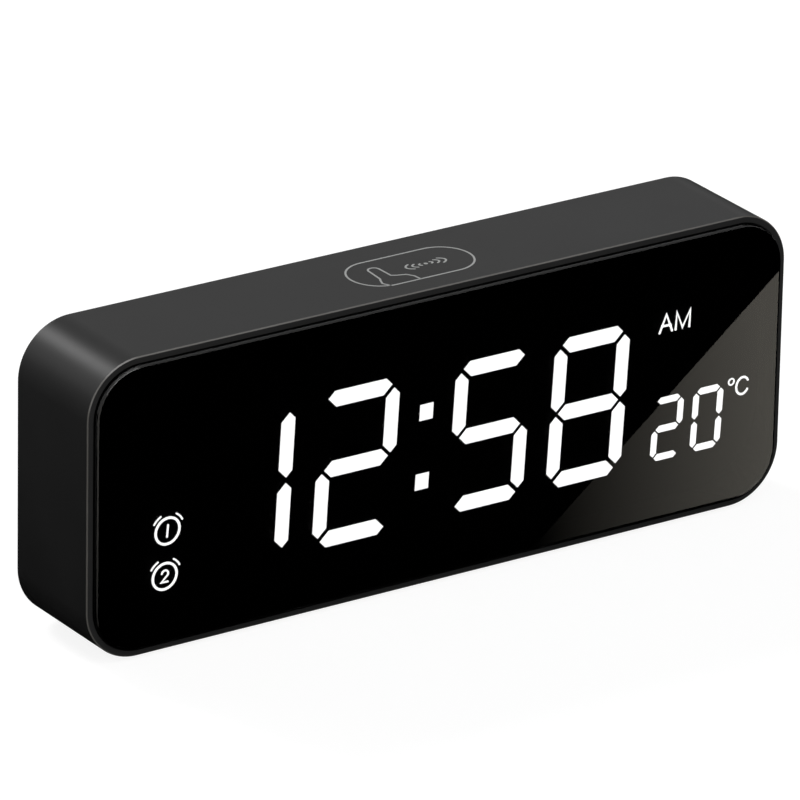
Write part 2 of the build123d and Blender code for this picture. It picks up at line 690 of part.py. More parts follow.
# Main board with holes for the corner screws and its own screws
with BuildPart() as led_board:
    with BuildSketch(facing_front(BOARD_BACK)):
        RectangleRounded(BOARD_WIDTH, BOARD_HEIGHT, BOARD_CORNER)
        with GridLocations(2 * POST_X, 2 * POST_Z, 2, 2):
            draw_round(SCREW_SHANK + 2 * SCREW_CLEARANCE, mode=Mode.SUBTRACT)
        with GridLocations(2 * BOARD_SCREW_X, 2 * BOARD_SCREW_Z, 2, 2):
            draw_round(BOARD_SCREW_SHANK + 2 * SCREW_CLEARANCE, mode=Mode.SUBTRACT)
    extrude(amount=BOARD_THICK)
finish(led_board, "led_board")

with BuildPart() as led_chips:
    with BuildSketch(facing_front(BOARD_FRONT)):
        for led_x, led_z, led_upright in led_places():
            with Locations((led_x, led_z)):
                if led_upright:
                    Rectangle(LED_WIDTH, LED_LENGTH)
                else:
                    Rectangle(LED_LENGTH, LED_WIDTH)
    extrude(amount=LED_HEIGHT)
finish(led_chips, "led_chips")

# Screws that hold the main board on the reflector block
with BuildPart() as board_screws:
    with BuildSketch(facing_front(BOARD_BACK)):
        with GridLocations(2 * BOARD_SCREW_X, 2 * BOARD_SCREW_Z, 2, 2):
            draw_round(BOARD_SCREW_HEAD)
    extrude(amount=-BOARD_SCREW_HEAD_HEIGHT)
    with BuildSketch(facing_front(BOARD_BACK)):
        with GridLocations(2 * BOARD_SCREW_X, 2 * BOARD_SCREW_Z, 2, 2):
            draw_round(BOARD_SCREW_SHANK)
    extrude(amount=BOARD_THICK + BOARD_SCREW_GRIP)
finish(board_screws, "board_screws")

# Controller with its rows of leads
with BuildPart() as control_chip:
    with BuildSketch(facing_front(BOARD_BACK + CHIP_HEIGHT)):
        with Locations((CHIP_X, -CHIP_DROP)):
            Rectangle(CHIP_LENGTH, CHIP_WIDTH)
    extrude(amount=CHIP_HEIGHT - CHIP_LIFT)
    with BuildSketch(facing_front(BOARD_BACK + CHIP_LEAD_HEIGHT)):
        with Locations((CHIP_X, -CHIP_DROP)):
            with GridLocations(CHIP_LEAD_PITCH, CHIP_WIDTH + CHIP_LEAD_REACH, CHIP_LEAD_COUNT, 2):
                Rectangle(CHIP_LEAD_WIDTH, CHIP_LEAD_REACH)
    extrude(amount=CHIP_LEAD_HEIGHT)
finish(control_chip, "control_chip")

# Crystal: can on a flange, with bevelled corners
with BuildPart() as clock_crystal:
    with BuildSketch(facing_front(BOARD_BACK + CRYSTAL_FLANGE_THICK)):
        with Locations((CHIP_X, -CRYSTAL_DROP)):
            Rectangle(CRYSTAL_LENGTH + 2 * CRYSTAL_FLANGE, CRYSTAL_WIDTH + 2 * CRYSTAL_FLANGE)
    extrude(amount=CRYSTAL_FLANGE_THICK)
    with BuildSketch(facing_front(BOARD_BACK + CRYSTAL_HEIGHT)):
        with Locations((CHIP_X, -CRYSTAL_DROP)):
            Rectangle(CRYSTAL_LENGTH, CRYSTAL_WIDTH)
    extrude(amount=CRYSTAL_HEIGHT - CRYSTAL_FLANGE_THICK)
    chamfer(clock_crystal.edges().filter_by(Axis.Y), CRYSTAL_BEVEL)
finish(clock_crystal, "clock_crystal")

# Capacitor: a can with a crimped groove above its foot
with BuildPart() as supply_capacitor:
    with BuildSketch(facing_front(BOARD_BACK + CAPACITOR_HEIGHT)):
        with Locations((CAPACITOR_X, -CAPACITOR_DROP)):
            draw_round(CAPACITOR_DIAMETER)
    extrude(amount=CAPACITOR_HEIGHT)
    with BuildSketch(facing_front(BOARD_BACK + CAPACITOR_GROOVE_RISE + CAPACITOR_GROOVE)):
        with Locations((CAPACITOR_X, -CAPACITOR_DROP)):
            draw_round(CAPACITOR_DIAMETER + CAPACITOR_GROOVE)
            draw_round(CAPACITOR_DIAMETER - 2 * CAPACITOR_GROOVE, mode=Mode.SUBTRACT)
    extrude(amount=2 * CAPACITOR_GROOVE, mode=Mode.SUBTRACT)
finish(supply_capacitor, "supply_capacitor")

# Sounder with the bore that its sound comes out of
with BuildPart() as sounder:
    with BuildSketch(facing_front(BOARD_BACK + SOUNDER_HEIGHT)):
        with Locations((SOUNDER_X, -SOUNDER_DROP)):
            draw_round(SOUNDER_DIAMETER)
    extrude(amount=SOUNDER_HEIGHT)
    with BuildSketch(facing_front(BOARD_BACK + SOUNDER_HEIGHT)):
        with Locations((SOUNDER_X, -SOUNDER_DROP)):
            draw_round(SOUNDER_BORE)
    extrude(amount=SOUNDER_BORE_DEPTH, mode=Mode.SUBTRACT)
finish(sounder, "sounder")

# Temperature sensor: a bead on two stiff leads, behind the vents
with BuildPart() as temperature_sensor:
    with BuildSketch(facing_front(BOARD_BACK + SENSOR_REACH)):
        with Locations((SENSOR_X, -SENSOR_DROP)):
            with GridLocations(SENSOR_LEAD_PITCH, SENSOR_LEAD_PITCH, 2, 1):
                Rectangle(SENSOR_LEAD, SENSOR_LEAD)
    extrude(amount=SENSOR_REACH)
    with BuildSketch(facing_front(BOARD_BACK + SENSOR_REACH + SENSOR_LENGTH)):
        with Locations((SENSOR_X, -SENSOR_DROP)):
            draw_round(SENSOR_DIAMETER)
    extrude(amount=SENSOR_LENGTH)
    chamfer(temperature_sensor.faces().sort_by(Axis.Y)[-1].edges(), SENSOR_BEVEL)
finish(temperature_sensor, "temperature_sensor")

# Touch electrode under the top wall, and the leaf that joins it to the main board
with BuildPart() as touch_electrode:
    with BuildSketch(Plane((0, RIM_Y + CASE_DEPTH / 2, CASE_MIDDLE + CAVITY_HEIGHT / 2 - TOUCH_THICK))):
        draw_bevelled(TOUCH_LENGTH, TOUCH_WIDTH, TOUCH_BEVEL)
    extrude(amount=TOUCH_THICK)
finish(touch_electrode, "touch_electrode")

SPRING_TOP = CAVITY_HEIGHT / 2 - TOUCH_THICK - SPRING_PLAY - SPRING_THICK / 2
SPRING_BASE = BOARD_BACK + SPRING_THICK / 2
with BuildPart() as touch_spring:
    with BuildSketch(facing_right(-SPRING_WIDTH / 2)):
        with BuildLine():
            FilletPolyline(
                (SPRING_BASE, SPRING_TOP - SPRING_RISE - SPRING_FOOT),
                (SPRING_BASE, SPRING_TOP - SPRING_RISE),
                (SPRING_BASE + SPRING_REACH, SPRING_TOP),
                (SPRING_BASE + SPRING_REACH + SPRING_TIP, SPRING_TOP - SPRING_TIP_DIP),
                radius=SPRING_BEND,
            )
        trace(line_width=SPRING_THICK)
    extrude(amount=SPRING_WIDTH)
finish(touch_spring, "touch_spring")

# Rear cover: plate, corner tubes, battery tray, key posts and sound tube, with all their openings
with BuildPart() as rear_cover:
    with BuildSketch(facing_front(COVER_OUTER)):
        RectangleRounded(
            SEAT_WIDTH - 2 * COVER_CLEARANCE,
            SEAT_HEIGHT - 2 * COVER_CLEARANCE,
            SEAT_CORNER - COVER_CLEARANCE,
        )
    extrude(amount=COVER_THICK)
    chamfer(rear_cover.faces().sort_by(Axis.Y)[-1].edges(), COVER_CHAMFER)
    with BuildSketch(facing_front(COVER_INNER)):
        with GridLocations(2 * POST_X, 2 * POST_Z, 2, 2):
            draw_round(TUBE_DIAMETER)
    extrude(amount=COVER_INNER - BOARD_BACK)
    with BuildSketch(facing_front(COVER_INNER)):
        with Locations((TRAY_X, 0)):
            Rectangle(TRAY_LENGTH + 2 * TRAY_WALL, TRAY_HEIGHT + 2 * TRAY_WALL)
    extrude(amount=COVER_INNER - TRAY_BOTTOM)
    with BuildSketch(facing_front(COVER_INNER)):
        with Locations(*KEY_POSTS):
            draw_round(KEY_POST_DIAMETER)
    extrude(amount=COVER_INNER - KEY_BOARD_BACK)
    with BuildSketch(facing_front(COVER_INNER)):
        with Locations((SOUNDER_X, -SOUNDER_DROP)):
            draw_round(SOUND_TUBE_BORE + 2 * SOUND_TUBE_WALL)
            draw_round(SOUND_TUBE_BORE, mode=Mode.SUBTRACT)
    extrude(amount=COVER_INNER - (BOARD_BACK + SOUNDER_HEIGHT - SOUND_TUBE_OVERLAP))
    # Deep bores for the screw heads, then the narrow holes through the tube ends
    with BuildSketch(facing_front(COVER_OUTER)):
        with GridLocations(2 * POST_X, 2 * POST_Z, 2, 2):
            draw_round(SCREW_HEAD + 2 * SCREW_CLEARANCE, SHOWN_SIDES)
    extrude(amount=COVER_OUTER - BOARD_BACK - TUBE_END, mode=Mode.SUBTRACT)
    with BuildSketch(facing_front(COVER_OUTER)):
        with GridLocations(2 * POST_X, 2 * POST_Z, 2, 2):
            draw_round(SCREW_SHANK + 2 * SCREW_CLEARANCE)
    extrude(amount=COVER_OUTER - BOARD_BACK, mode=Mode.SUBTRACT)
    # Battery tray, the seat of its door, the room for the latch and the two hooks
    with BuildSketch(facing_front(COVER_OUTER)):
        with Locations((TRAY_X, 0)):
            Rectangle(TRAY_LENGTH, TRAY_HEIGHT)
    extrude(amount=COVER_OUTER - TRAY_INSIDE, mode=Mode.SUBTRACT)
    with BuildSketch(facing_front(COVER_OUTER)):
        with Locations((TRAY_X, 0)):
            RectangleRounded(
                DOOR_WIDTH + 2 * DOOR_CLEARANCE,
                DOOR_HEIGHT + 2 * DOOR_CLEARANCE,
                DOOR_CORNER + DOOR_CLEARANCE,
            )
        with Locations((TRAY_X, DOOR_HEIGHT / 2)):
            Rectangle(LATCH_WIDTH + 2 * LATCH_NOTCH, 2 * (LATCH_PROUD + LATCH_NOTCH))
    extrude(amount=DOOR_THICK + DOOR_SEAT_GAP, mode=Mode.SUBTRACT)
    with BuildSketch(facing_front(COVER_OUTER - TONGUE_LIP)):
        with Locations((TRAY_X, -(DOOR_HEIGHT + TONGUE_LENGTH - DOOR_SEAT) / 2)):
            with GridLocations(TONGUE_SPREAD, TONGUE_SPREAD, 2, 1):
                Rectangle(
                    TONGUE_WIDTH + 2 * DOOR_CLEARANCE,
                    TONGUE_LENGTH + DOOR_SEAT + 2 * DOOR_CLEARANCE,
                )
    extrude(amount=COVER_THICK - TONGUE_LIP, mode=Mode.SUBTRACT)
    # Low ribs that keep the cells apart
    with BuildSketch(facing_right(TRAY_X - CELL_LENGTH / 2 + CONTACT_DOME)):
        for lower, upper in zip(CELL_Z, CELL_Z[1:]):
            Polygon(
                (TRAY_INSIDE, (lower + upper - TRAY_RIB_WIDTH) / 2),
                (TRAY_INSIDE, (lower + upper + TRAY_RIB_WIDTH) / 2),
                (TRAY_INSIDE + TRAY_RIB_HEIGHT, (lower + upper) / 2),
                align=None,
            )
    extrude(amount=CELL_LENGTH - 2 * CONTACT_DOME)
    # Slots in the tray floor for the tails of the two outer contacts
    with BuildSketch(facing_front(TRAY_INSIDE)):
        for side, row in ((1, -1), (-1, 0)):
            tail_x = TRAY_X + side * (TRAY_LENGTH - CONTACT_THICK) / 2
            with Locations((tail_x, CELL_Z[row])):
                Rectangle(CONTACT_THICK + 2 * SCREW_CLEARANCE, CONTACT_TAIL + 2 * SCREW_CLEARANCE)
    extrude(amount=TRAY_FLOOR, mode=Mode.SUBTRACT)
    # Key holes, inlet, sound holes, vents and the pilot bores of the key posts
    with BuildSketch(facing_front(COVER_OUTER)):
        with Locations(*[(x, KEY_RISE) for x in KEY_X]):
            draw_key(KEY_CLEARANCE)
        with Locations((INLET_X, -INLET_DROP)):
            SlotOverall(INLET_WIDTH + 2 * INLET_CLEARANCE, INLET_HEIGHT + 2 * INLET_CLEARANCE)
        with Locations((SOUNDER_X, -SOUNDER_DROP)):
            draw_round(SOUND_HOLE)
            with PolarLocations(SOUND_HOLE_RING, SOUND_HOLE_COUNT):
                draw_round(SOUND_HOLE)
        with Locations((SENSOR_X, -SENSOR_DROP)):
            with GridLocations(VENT_PITCH, VENT_PITCH, 1, VENT_COUNT):
                Rectangle(VENT_WIDTH, VENT_HEIGHT)
    extrude(amount=COVER_THICK, mode=Mode.SUBTRACT)
    with BuildSketch(facing_front(KEY_BOARD_BACK)):
        with Locations(*KEY_POSTS):
            draw_round(KEY_SCREW_SHANK + 2 * SCREW_PLAY)
    extrude(amount=-(KEY_SCREW_GRIP + SCREW_CLEARANCE), mode=Mode.SUBTRACT)
finish(rear_cover, "rear_cover")

# Long screws through the cover's tubes and the main board into the case bosses
with BuildPart() as cover_screws:
    with BuildSketch(facing_front(BOARD_BACK + TUBE_END + SCREW_HEAD_HEIGHT)):
        with GridLocations(2 * POST_X, 2 * POST_Z, 2, 2):
            draw_round(SCREW_HEAD, SHOWN_SIDES)
    extrude(amount=SCREW_HEAD_HEIGHT)
    with BuildSketch(facing_front(BOARD_BACK + TUBE_END)):
        with GridLocations(2 * POST_X, 2 * POST_Z, 2, 2):
            draw_round(SCREW_SHANK)
    extrude(amount=TUBE_END + BOARD_THICK + SCREW_GRIP)
finish(cover_screws, "cover_screws")

# Battery door: plate, latch tab between two slits with grip ridges, two hook tongues at the lower edge
with BuildPart() as battery_door:
    with BuildSketch(facing_front(COVER_OUTER)):
        with Locations((TRAY_X, 0)):
            RectangleRounded(DOOR_WIDTH, DOOR_HEIGHT, DOOR_CORNER)
        with Locations((TRAY_X, (DOOR_HEIGHT - LATCH_LENGTH) / 2)):
            with GridLocations(LATCH_WIDTH + LATCH_SLIT, LATCH_LENGTH, 2, 1):
                Rectangle(LATCH_SLIT, LATCH_LENGTH, mode=Mode.SUBTRACT)
        with Locations((TRAY_X, DOOR_HEIGHT / 2)):
            Rectangle(LATCH_WIDTH, 2 * LATCH_PROUD)
    extrude(amount=DOOR_THICK)
    with BuildSketch(facing_front(COVER_OUTER)):
        with Locations((TRAY_X, (DOOR_HEIGHT - LATCH_LENGTH) / 2)):
            with GridLocations(GRIP_PITCH, GRIP_PITCH, 1, GRIP_COUNT):
                Rectangle(LATCH_WIDTH - 2 * GRIP_PITCH, GRIP_WIDTH)
    extrude(amount=-GRIP_HEIGHT)
    with BuildSketch(facing_front(COVER_OUTER - TONGUE_LIP - TONGUE_CLEARANCE)):
        with Locations((TRAY_X, -DOOR_HEIGHT / 2)):
            with GridLocations(TONGUE_SPREAD, TONGUE_SPREAD, 2, 1):
                Rectangle(TONGUE_WIDTH, 2 * TONGUE_LENGTH)
    extrude(amount=DOOR_THICK - TONGUE_LIP - TONGUE_CLEARANCE)
finish(battery_door, "battery_door")

# Three cells, every second one turned round
with BuildPart() as battery_cells:
    for row, cell_z in enumerate(CELL_Z):
        way = 1 if row % 2 == 0 else -1
        flat_end = TRAY_X - way * (TRAY_LENGTH / 2 - CONTACT_THICK - CONTACT_PLAY - CONTACT_DOME)
        cell_plane = Plane(
            origin=(flat_end, RIM_Y + CELL_MIDDLE, CASE_MIDDLE + cell_z),
            x_dir=(0, 1, 0),
            z_dir=(way, 0, 0),
        )
        with BuildSketch(cell_plane):
            draw_round(CELL_DIAMETER, SHOWN_SIDES)
        extrude(amount=CELL_LENGTH - CELL_NUB_HEIGHT)
        with BuildSketch(cell_plane):
            draw_round(CELL_NUB_DIAMETER)
        extrude(amount=CELL_LENGTH)
finish(battery_cells, "battery_cells")

# Contacts at both ends of the tray: outer ones with a tail to the main board, bridges between two cells
with BuildPart() as cell_contacts:
    for side, tail_row in ((1, CELL_COUNT - 1), (-1, 0)):
        wall_x = TRAY_X + side * TRAY_LENGTH / 2
        plate_x = wall_x - CONTACT_THICK if side > 0 else wall_x
        bridged = [z for row, z in enumerate(CELL_Z) if row != tail_row]
        with BuildSketch(facing_right(plate_x)):
            with Locations((CELL_MIDDLE, CELL_Z[tail_row])):
                Rectangle(CONTACT_HEIGHT, CONTACT_WIDTH)
            with Locations(((CELL_MIDDLE + BOARD_BACK) / 2, CELL_Z[tail_row])):
                Rectangle(CELL_MIDDLE - BOARD_BACK, CONTACT_TAIL)
            with Locations((CELL_MIDDLE, sum(bridged) / len(bridged))):
                Rectangle(CONTACT_HEIGHT, max(bridged) - min(bridged) + CONTACT_WIDTH)
        extrude(amount=CONTACT_THICK)
        for row, cell_z in enumerate(CELL_Z):
            nub_side = 1 if row % 2 == 0 else -1
            if nub_side != side:
                dome_plane = Plane(
                    origin=(wall_x - side * CONTACT_THICK, RIM_Y + CELL_MIDDLE, CASE_MIDDLE + cell_z),
                    x_dir=(0, 1, 0),
                    z_dir=(-side, 0, 0),
                )
                with BuildSketch(dome_plane):
                    draw_round(CONTACT_DOME_BASE)
                extrude(amount=CONTACT_DOME / 2)
                with BuildSketch(dome_plane):
                    draw_round(CONTACT_DOME_TIP)
                extrude(amount=CONTACT_DOME)
finish(cell_contacts, "cell_contacts")

# Key board: a strip under the keys with a foot under the inlet
with BuildPart() as key_board:
    with BuildSketch(facing_front(KEY_BOARD_BACK)):
        with Locations((KEY_MIDDLE, (KEY_BOARD_TOP + KEY_BOARD_LOW) / 2)):
            Rectangle(KEY_BOARD_WIDTH, KEY_BOARD_TOP - KEY_BOARD_LOW)
        with Locations((INLET_X, (KEY_RISE + INLET_BOARD_LOW) / 2)):
            Rectangle(INLET_BOARD_WIDTH, KEY_RISE - INLET_BOARD_LOW)
        with Locations(*KEY_POSTS):
            draw_round(KEY_SCREW_SHANK + 2 * SCREW_CLEARANCE, mode=Mode.SUBTRACT)
    extrude(amount=BOARD_THICK)
finish(key_board, "key_board")

with BuildPart() as key_board_screws:
    with BuildSketch(facing_front(KEY_BOARD_FRONT)):
        with Locations(*KEY_POSTS):
            draw_round(KEY_SCREW_HEAD)
    extrude(amount=KEY_SCREW_HEAD_HEIGHT)
    with BuildSketch(facing_front(KEY_BOARD_FRONT)):
        with Locations(*KEY_POSTS):
            draw_round(KEY_SCREW_SHANK)
    extrude(amount=-(BOARD_THICK + KEY_SCREW_GRIP))
finish(key_board_screws, "key_board_screws")

# Plug between the two boards
with BuildPart() as link_header:
    with BuildSketch(facing_front(KEY_BOARD_FRONT)):
        with Locations((KEY_MIDDLE, KEY_RISE)):
            Rectangle(HEADER_LENGTH, HEADER_WIDTH)
    extrude(amount=KEY_BOARD_FRONT - BOARD_BACK)
    chamfer(link_header.edges().filter_by(Axis.Y), HEADER_CHAMFER)
finish(link_header, "link_header")

# Switch housings with a stepped bore for the plunger and its collar
with BuildPart() as key_switches:
    with BuildSketch(facing_front(SWITCH_TOP)):
        with Locations(*[(x, KEY_RISE) for x in KEY_X]):
            Rectangle(SWITCH_SIZE, SWITCH_SIZE)
    extrude(amount=SWITCH_HEIGHT)
    with BuildSketch(facing_front(SWITCH_TOP)):
        with Locations(*[(x, KEY_RISE) for x in KEY_X]):
            draw_round(PLUNGER_DIAMETER + 2 * PLUNGER_CLEARANCE)
    extrude(amount=SWITCH_ROOF, mode=Mode.SUBTRACT)
    with BuildSketch(facing_front(SWITCH_TOP - SWITCH_ROOF)):
        with Locations(*[(x, KEY_RISE) for x in KEY_X]):
            draw_round(PLUNGER_COLLAR + 2 * PLUNGER_CLEARANCE)
    extrude(amount=PLUNGER_COLLAR_THICK + PLUNGER_ROOM, mode=Mode.SUBTRACT)
finish(key_switches, "key_switches")

# Key caps and switch plungers, one of each for every key
for key_name, key_x in zip(KEY_NAMES, KEY_X):
    with BuildPart() as key_cap:
        with BuildSketch(facing_front(COVER_OUTER + KEY_PROUD)):
            with Locations((key_x, KEY_RISE)):
                draw_key(0)
        extrude(amount=COVER_OUTER + KEY_PROUD - FLANGE_INNER)
        chamfer(key_cap.faces().sort_by(Axis.Y)[-1].edges(), KEY_EDGE)
        with BuildSketch(facing_front(FLANGE_OUTER)):
            with Locations((key_x, KEY_RISE)):
                draw_key(KEY_FLANGE_MARGIN)
        extrude(amount=KEY_FLANGE_THICK)
        with BuildSketch(facing_front(FLANGE_INNER)):
            with Locations((key_x, KEY_RISE)):
                draw_round(KEY_STEM_DIAMETER)
        extrude(amount=KEY_STEM_LENGTH)
    finish(key_cap, f"{key_name}_key")

    with BuildPart() as plunger:
        with BuildSketch(facing_front(PLUNGER_TIP)):
            with Locations((key_x, KEY_RISE)):
                draw_round(PLUNGER_DIAMETER)
        extrude(amount=PLUNGER_PROUD + SWITCH_ROOF + KEY_FLANGE_GAP)
        with BuildSketch(facing_front(SWITCH_TOP - SWITCH_ROOF - KEY_FLANGE_GAP)):
            with Locations((key_x, KEY_RISE)):
                draw_round(PLUNGER_COLLAR)
        extrude(amount=PLUNGER_COLLAR_THICK)
    finish(plunger, f"{key_name}_plunger")

# Power inlet: shell upright on the key board, tongue on a base inside it
with BuildPart() as usb_shell:
    with BuildSketch(facing_front(INLET_MOUTH)):
        with Locations((INLET_X, -INLET_DROP)):
            SlotOverall(INLET_WIDTH, INLET_HEIGHT)
            SlotOverall(INLET_WIDTH - 2 * INLET_WALL, INLET_HEIGHT - 2 * INLET_WALL, mode=Mode.SUBTRACT)
    extrude(amount=INLET_LENGTH)
finish(usb_shell, "usb_shell")

with BuildPart() as usb_tongue:
    with BuildSketch(facing_front(KEY_BOARD_BACK + INLET_BASE)):
        with Locations((INLET_X, -INLET_DROP)):
            Rectangle(INLET_WIDTH - INLET_HEIGHT, INLET_HEIGHT - 2 * INLET_WALL - 2 * INLET_PLAY)
    extrude(amount=INLET_BASE)
    with BuildSketch(facing_front(INLET_MOUTH - INLET_TONGUE_SHORT)):
        with Locations((INLET_X, -INLET_DROP)):
            Rectangle(INLET_TONGUE_WIDTH, INLET_TONGUE_THICK)
    extrude(amount=INLET_LENGTH - INLET_TONGUE_SHORT)
finish(usb_tongue, "usb_tongue")
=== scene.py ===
import logging
from abc import ABC, abstractmethod
from collections.abc import Sequence
from dataclasses import dataclass, field
from enum import Enum
from math import cos, hypot, pi, radians, sin, tan

import bmesh
import bpy
from mathutils import Matrix, Vector


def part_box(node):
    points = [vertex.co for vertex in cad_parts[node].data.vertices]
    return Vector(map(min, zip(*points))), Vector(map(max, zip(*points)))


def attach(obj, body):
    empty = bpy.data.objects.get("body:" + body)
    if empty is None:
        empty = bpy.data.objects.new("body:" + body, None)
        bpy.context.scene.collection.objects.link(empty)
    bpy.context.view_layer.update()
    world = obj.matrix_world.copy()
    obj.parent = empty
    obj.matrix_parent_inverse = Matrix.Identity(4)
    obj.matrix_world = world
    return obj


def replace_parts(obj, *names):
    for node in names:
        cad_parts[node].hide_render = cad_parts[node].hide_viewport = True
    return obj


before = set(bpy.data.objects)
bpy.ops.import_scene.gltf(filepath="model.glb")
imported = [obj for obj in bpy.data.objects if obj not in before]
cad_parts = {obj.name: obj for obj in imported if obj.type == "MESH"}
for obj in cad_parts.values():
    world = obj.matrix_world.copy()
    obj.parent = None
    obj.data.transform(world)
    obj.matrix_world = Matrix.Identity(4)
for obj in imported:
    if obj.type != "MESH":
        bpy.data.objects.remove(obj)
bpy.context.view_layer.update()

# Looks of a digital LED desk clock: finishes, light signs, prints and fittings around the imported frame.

Point2 = tuple[float, float]
Colour = tuple[float, float, float]

MM = 0.001
HOUSING = "housing"
DOOR = "door"
CORNER_STEPS = 24
EDGE_STEPS = 4
CAP_ANGLES = (75.0, 50.0, 25.0)
MITRE_LIMIT = 1.8
SHARP_ANGLE = 32.0
HAIR = 1e-6
NOISE_SPAN = (0.3, 0.7)
LOG = logging.getLogger("desk_clock")


class Graph:
    """Node tree of one material, with short ways to add and join nodes."""

    def __init__(self, name: str) -> None:
        """Starts a material with a bare principled shader.

        Args:
            name: Name of the material.
        """
        self.material = bpy.data.materials.new(name)
        self.material.use_nodes = True
        self.nodes = self.material.node_tree.nodes
        self.links = self.material.node_tree.links
        self.shader = self.nodes["Principled BSDF"]
        self.output = self.nodes["Material Output"]

    def add(self, kind: str, **settings: object) -> bpy.types.Node:
        """Adds a node.

        Args:
            kind: Type name of the node.
            settings: Attributes to set on it.

        Returns:
            The new node.
        """
        node = self.nodes.new(kind)
        for key, value in settings.items():
            setattr(node, key, value)
        return node

    def join(self, source: bpy.types.NodeSocket, target: bpy.types.NodeSocket) -> None:
        """Links an output socket to an input socket."""
        self.links.new(source, target)

    def put(self, values: dict[str, object]) -> None:
        """Sets plain values on the principled shader's own sockets."""
        for key, value in values.items():
            self.shader.inputs[key].default_value = value

    def noise(self, size: float, detail: float = 2.0) -> bpy.types.NodeSocket:
        """Adds a noise in object space.

        Args:
            size: Size of its blobs, in metres.
            detail: Number of finer layers.

        Returns:
            The noise's value socket.
        """
        place = self.add("ShaderNodeTexCoord")
        noise = self.add("ShaderNodeTexNoise")
        noise.inputs["Scale"].default_value = 1.0 / size
        noise.inputs["Detail"].default_value = detail
        self.join(place.outputs["Object"], noise.inputs["Vector"])
        return noise.outputs[0]

    def tint(self, factor: bpy.types.NodeSocket, low: Colour, high: Colour) -> bpy.types.NodeSocket:
        """Blends two colours by a noise.

        Args:
            factor: Value that drives the blend.
            low: Colour at the noise's low end.
            high: Colour at its high end.

        Returns:
            The colour socket.
        """
        ramp = self.add("ShaderNodeValToRGB")
        for stop, position, colour in zip(ramp.color_ramp.elements, NOISE_SPAN, (low, high)):
            stop.position = position
            stop.color = (*colour, 1.0)
        self.join(factor, ramp.inputs[0])
        return ramp.outputs[0]

    def scale(self, value: bpy.types.NodeSocket, low: float, high: float,
              span: Point2 = NOISE_SPAN) -> bpy.types.NodeSocket:
        """Maps a value to a range.

        Args:
            value: Socket to map.
            low: Result at the lower end.
            high: Result at the upper end.
            span: Ends of the incoming range.

        Returns:
            The mapped socket.
        """
        mapped = self.add("ShaderNodeMapRange")
        self.join(value, mapped.inputs["Value"])
        for key, number in zip(("From Min", "From Max", "To Min", "To Max"), (*span, low, high)):
            mapped.inputs[key].default_value = number
        return mapped.outputs["Result"]

    def bump(self, height: bpy.types.NodeSocket, depth: float, edge: float = 0.0) -> None:
        """Feeds the shader's normal with a relief, and with softened edges if asked.

        Args:
            height: Height of the relief, from 0 to 1.
            depth: Depth of the relief, in metres.
            edge: Radius of softened edges, in metres.
        """
        bump = self.add("ShaderNodeBump")
        bump.inputs["Distance"].default_value = depth
        self.join(height, bump.inputs["Height"])
        if edge:
            bevel = self.add("ShaderNodeBevel", samples=4)
            bevel.inputs["Radius"].default_value = edge
            self.join(bevel.outputs["Normal"], bump.inputs["Normal"])
        self.join(bump.outputs["Normal"], self.shader.inputs["Normal"])


def shade(colour: Colour, factor: float) -> Colour:
    """A colour made darker or lighter by a factor."""
    return tuple(min(1.0, channel * factor) for channel in colour)


@dataclass(frozen=True)
class Finish(ABC):
    """A named surface finish, made into a material once."""

    name: str

    def material(self) -> bpy.types.Material:
        """Finds the finish's material, or makes it on first use.

        Returns:
            The material.
        """
        found = bpy.data.materials.get(self.name)
        if found is None:
            graph = Graph(self.name)
            self.paint(graph)
            found = graph.material
        return found

    @abstractmethod
    def paint(self, graph: Graph) -> None:
        """Fills the material's node tree.

        Args:
            graph: Node tree to fill.
        """


@dataclass(frozen=True)
class MouldedPlastic(Finish):
    """Moulded plastic or rubber with a fine eroded grain."""

    colour: Colour
    roughness: float
    grain: float = 0.22 * MM
    depth: float = 0.004 * MM
    cloud: float = 14 * MM
    mottle: float = 0.1
    unevenness: float = 0.02
    edge: float = 0.12 * MM
    gloss: float = 0.5

    def paint(self, graph: Graph) -> None:
        """Fills the material's node tree.

        Args:
            graph: Node tree to fill.
        """
        graph.put({"Specular IOR Level": self.gloss})
        broad = graph.noise(self.cloud, 3.0)
        low = shade(self.colour, 1.0 - self.mottle)
        high = shade(self.colour, 1.0 + self.mottle)
        graph.join(graph.tint(broad, low, high), graph.shader.inputs["Base Color"])
        rough = graph.scale(broad, self.roughness - self.unevenness, self.roughness + self.unevenness)
        graph.join(rough, graph.shader.inputs["Roughness"])
        graph.bump(graph.noise(self.grain), self.depth, self.edge)


@dataclass(frozen=True)
class SmokedLens(Finish):
    """Dark see-through sheet with a hard gloss."""

    colour: Colour
    ior: float
    mirror: Colour
    cloud: float = 40 * MM
    haze: Point2 = (0.002, 0.01)

    def paint(self, graph: Graph) -> None:
        """Fills the material's node tree.

        Args:
            graph: Node tree to fill.
        """
        broad = graph.noise(self.cloud)
        graph.put({"Transmission Weight": 1.0, "IOR": self.ior, "Specular Tint": (*self.mirror, 1.0)})
        tint = graph.tint(broad, shade(self.colour, 0.94), self.colour)
        graph.join(tint, graph.shader.inputs["Base Color"])
        graph.join(graph.scale(broad, *self.haze), graph.shader.inputs["Roughness"])


@dataclass(frozen=True)
class Glow(Finish):
    """Milky light guide with an LED behind it."""

    colour: Colour
    strength: float
    cloud: float = 3 * MM

    def paint(self, graph: Graph) -> None:
        """Fills the material's node tree.

        Args:
            graph: Node tree to fill.
        """
        broad = graph.noise(self.cloud)
        graph.put({"Roughness": 0.5, "Emission Strength": self.strength})
        tint = graph.tint(broad, shade(self.colour, 0.96), self.colour)
        graph.join(tint, graph.shader.inputs["Base Color"])
        graph.join(tint, graph.shader.inputs["Emission Color"])


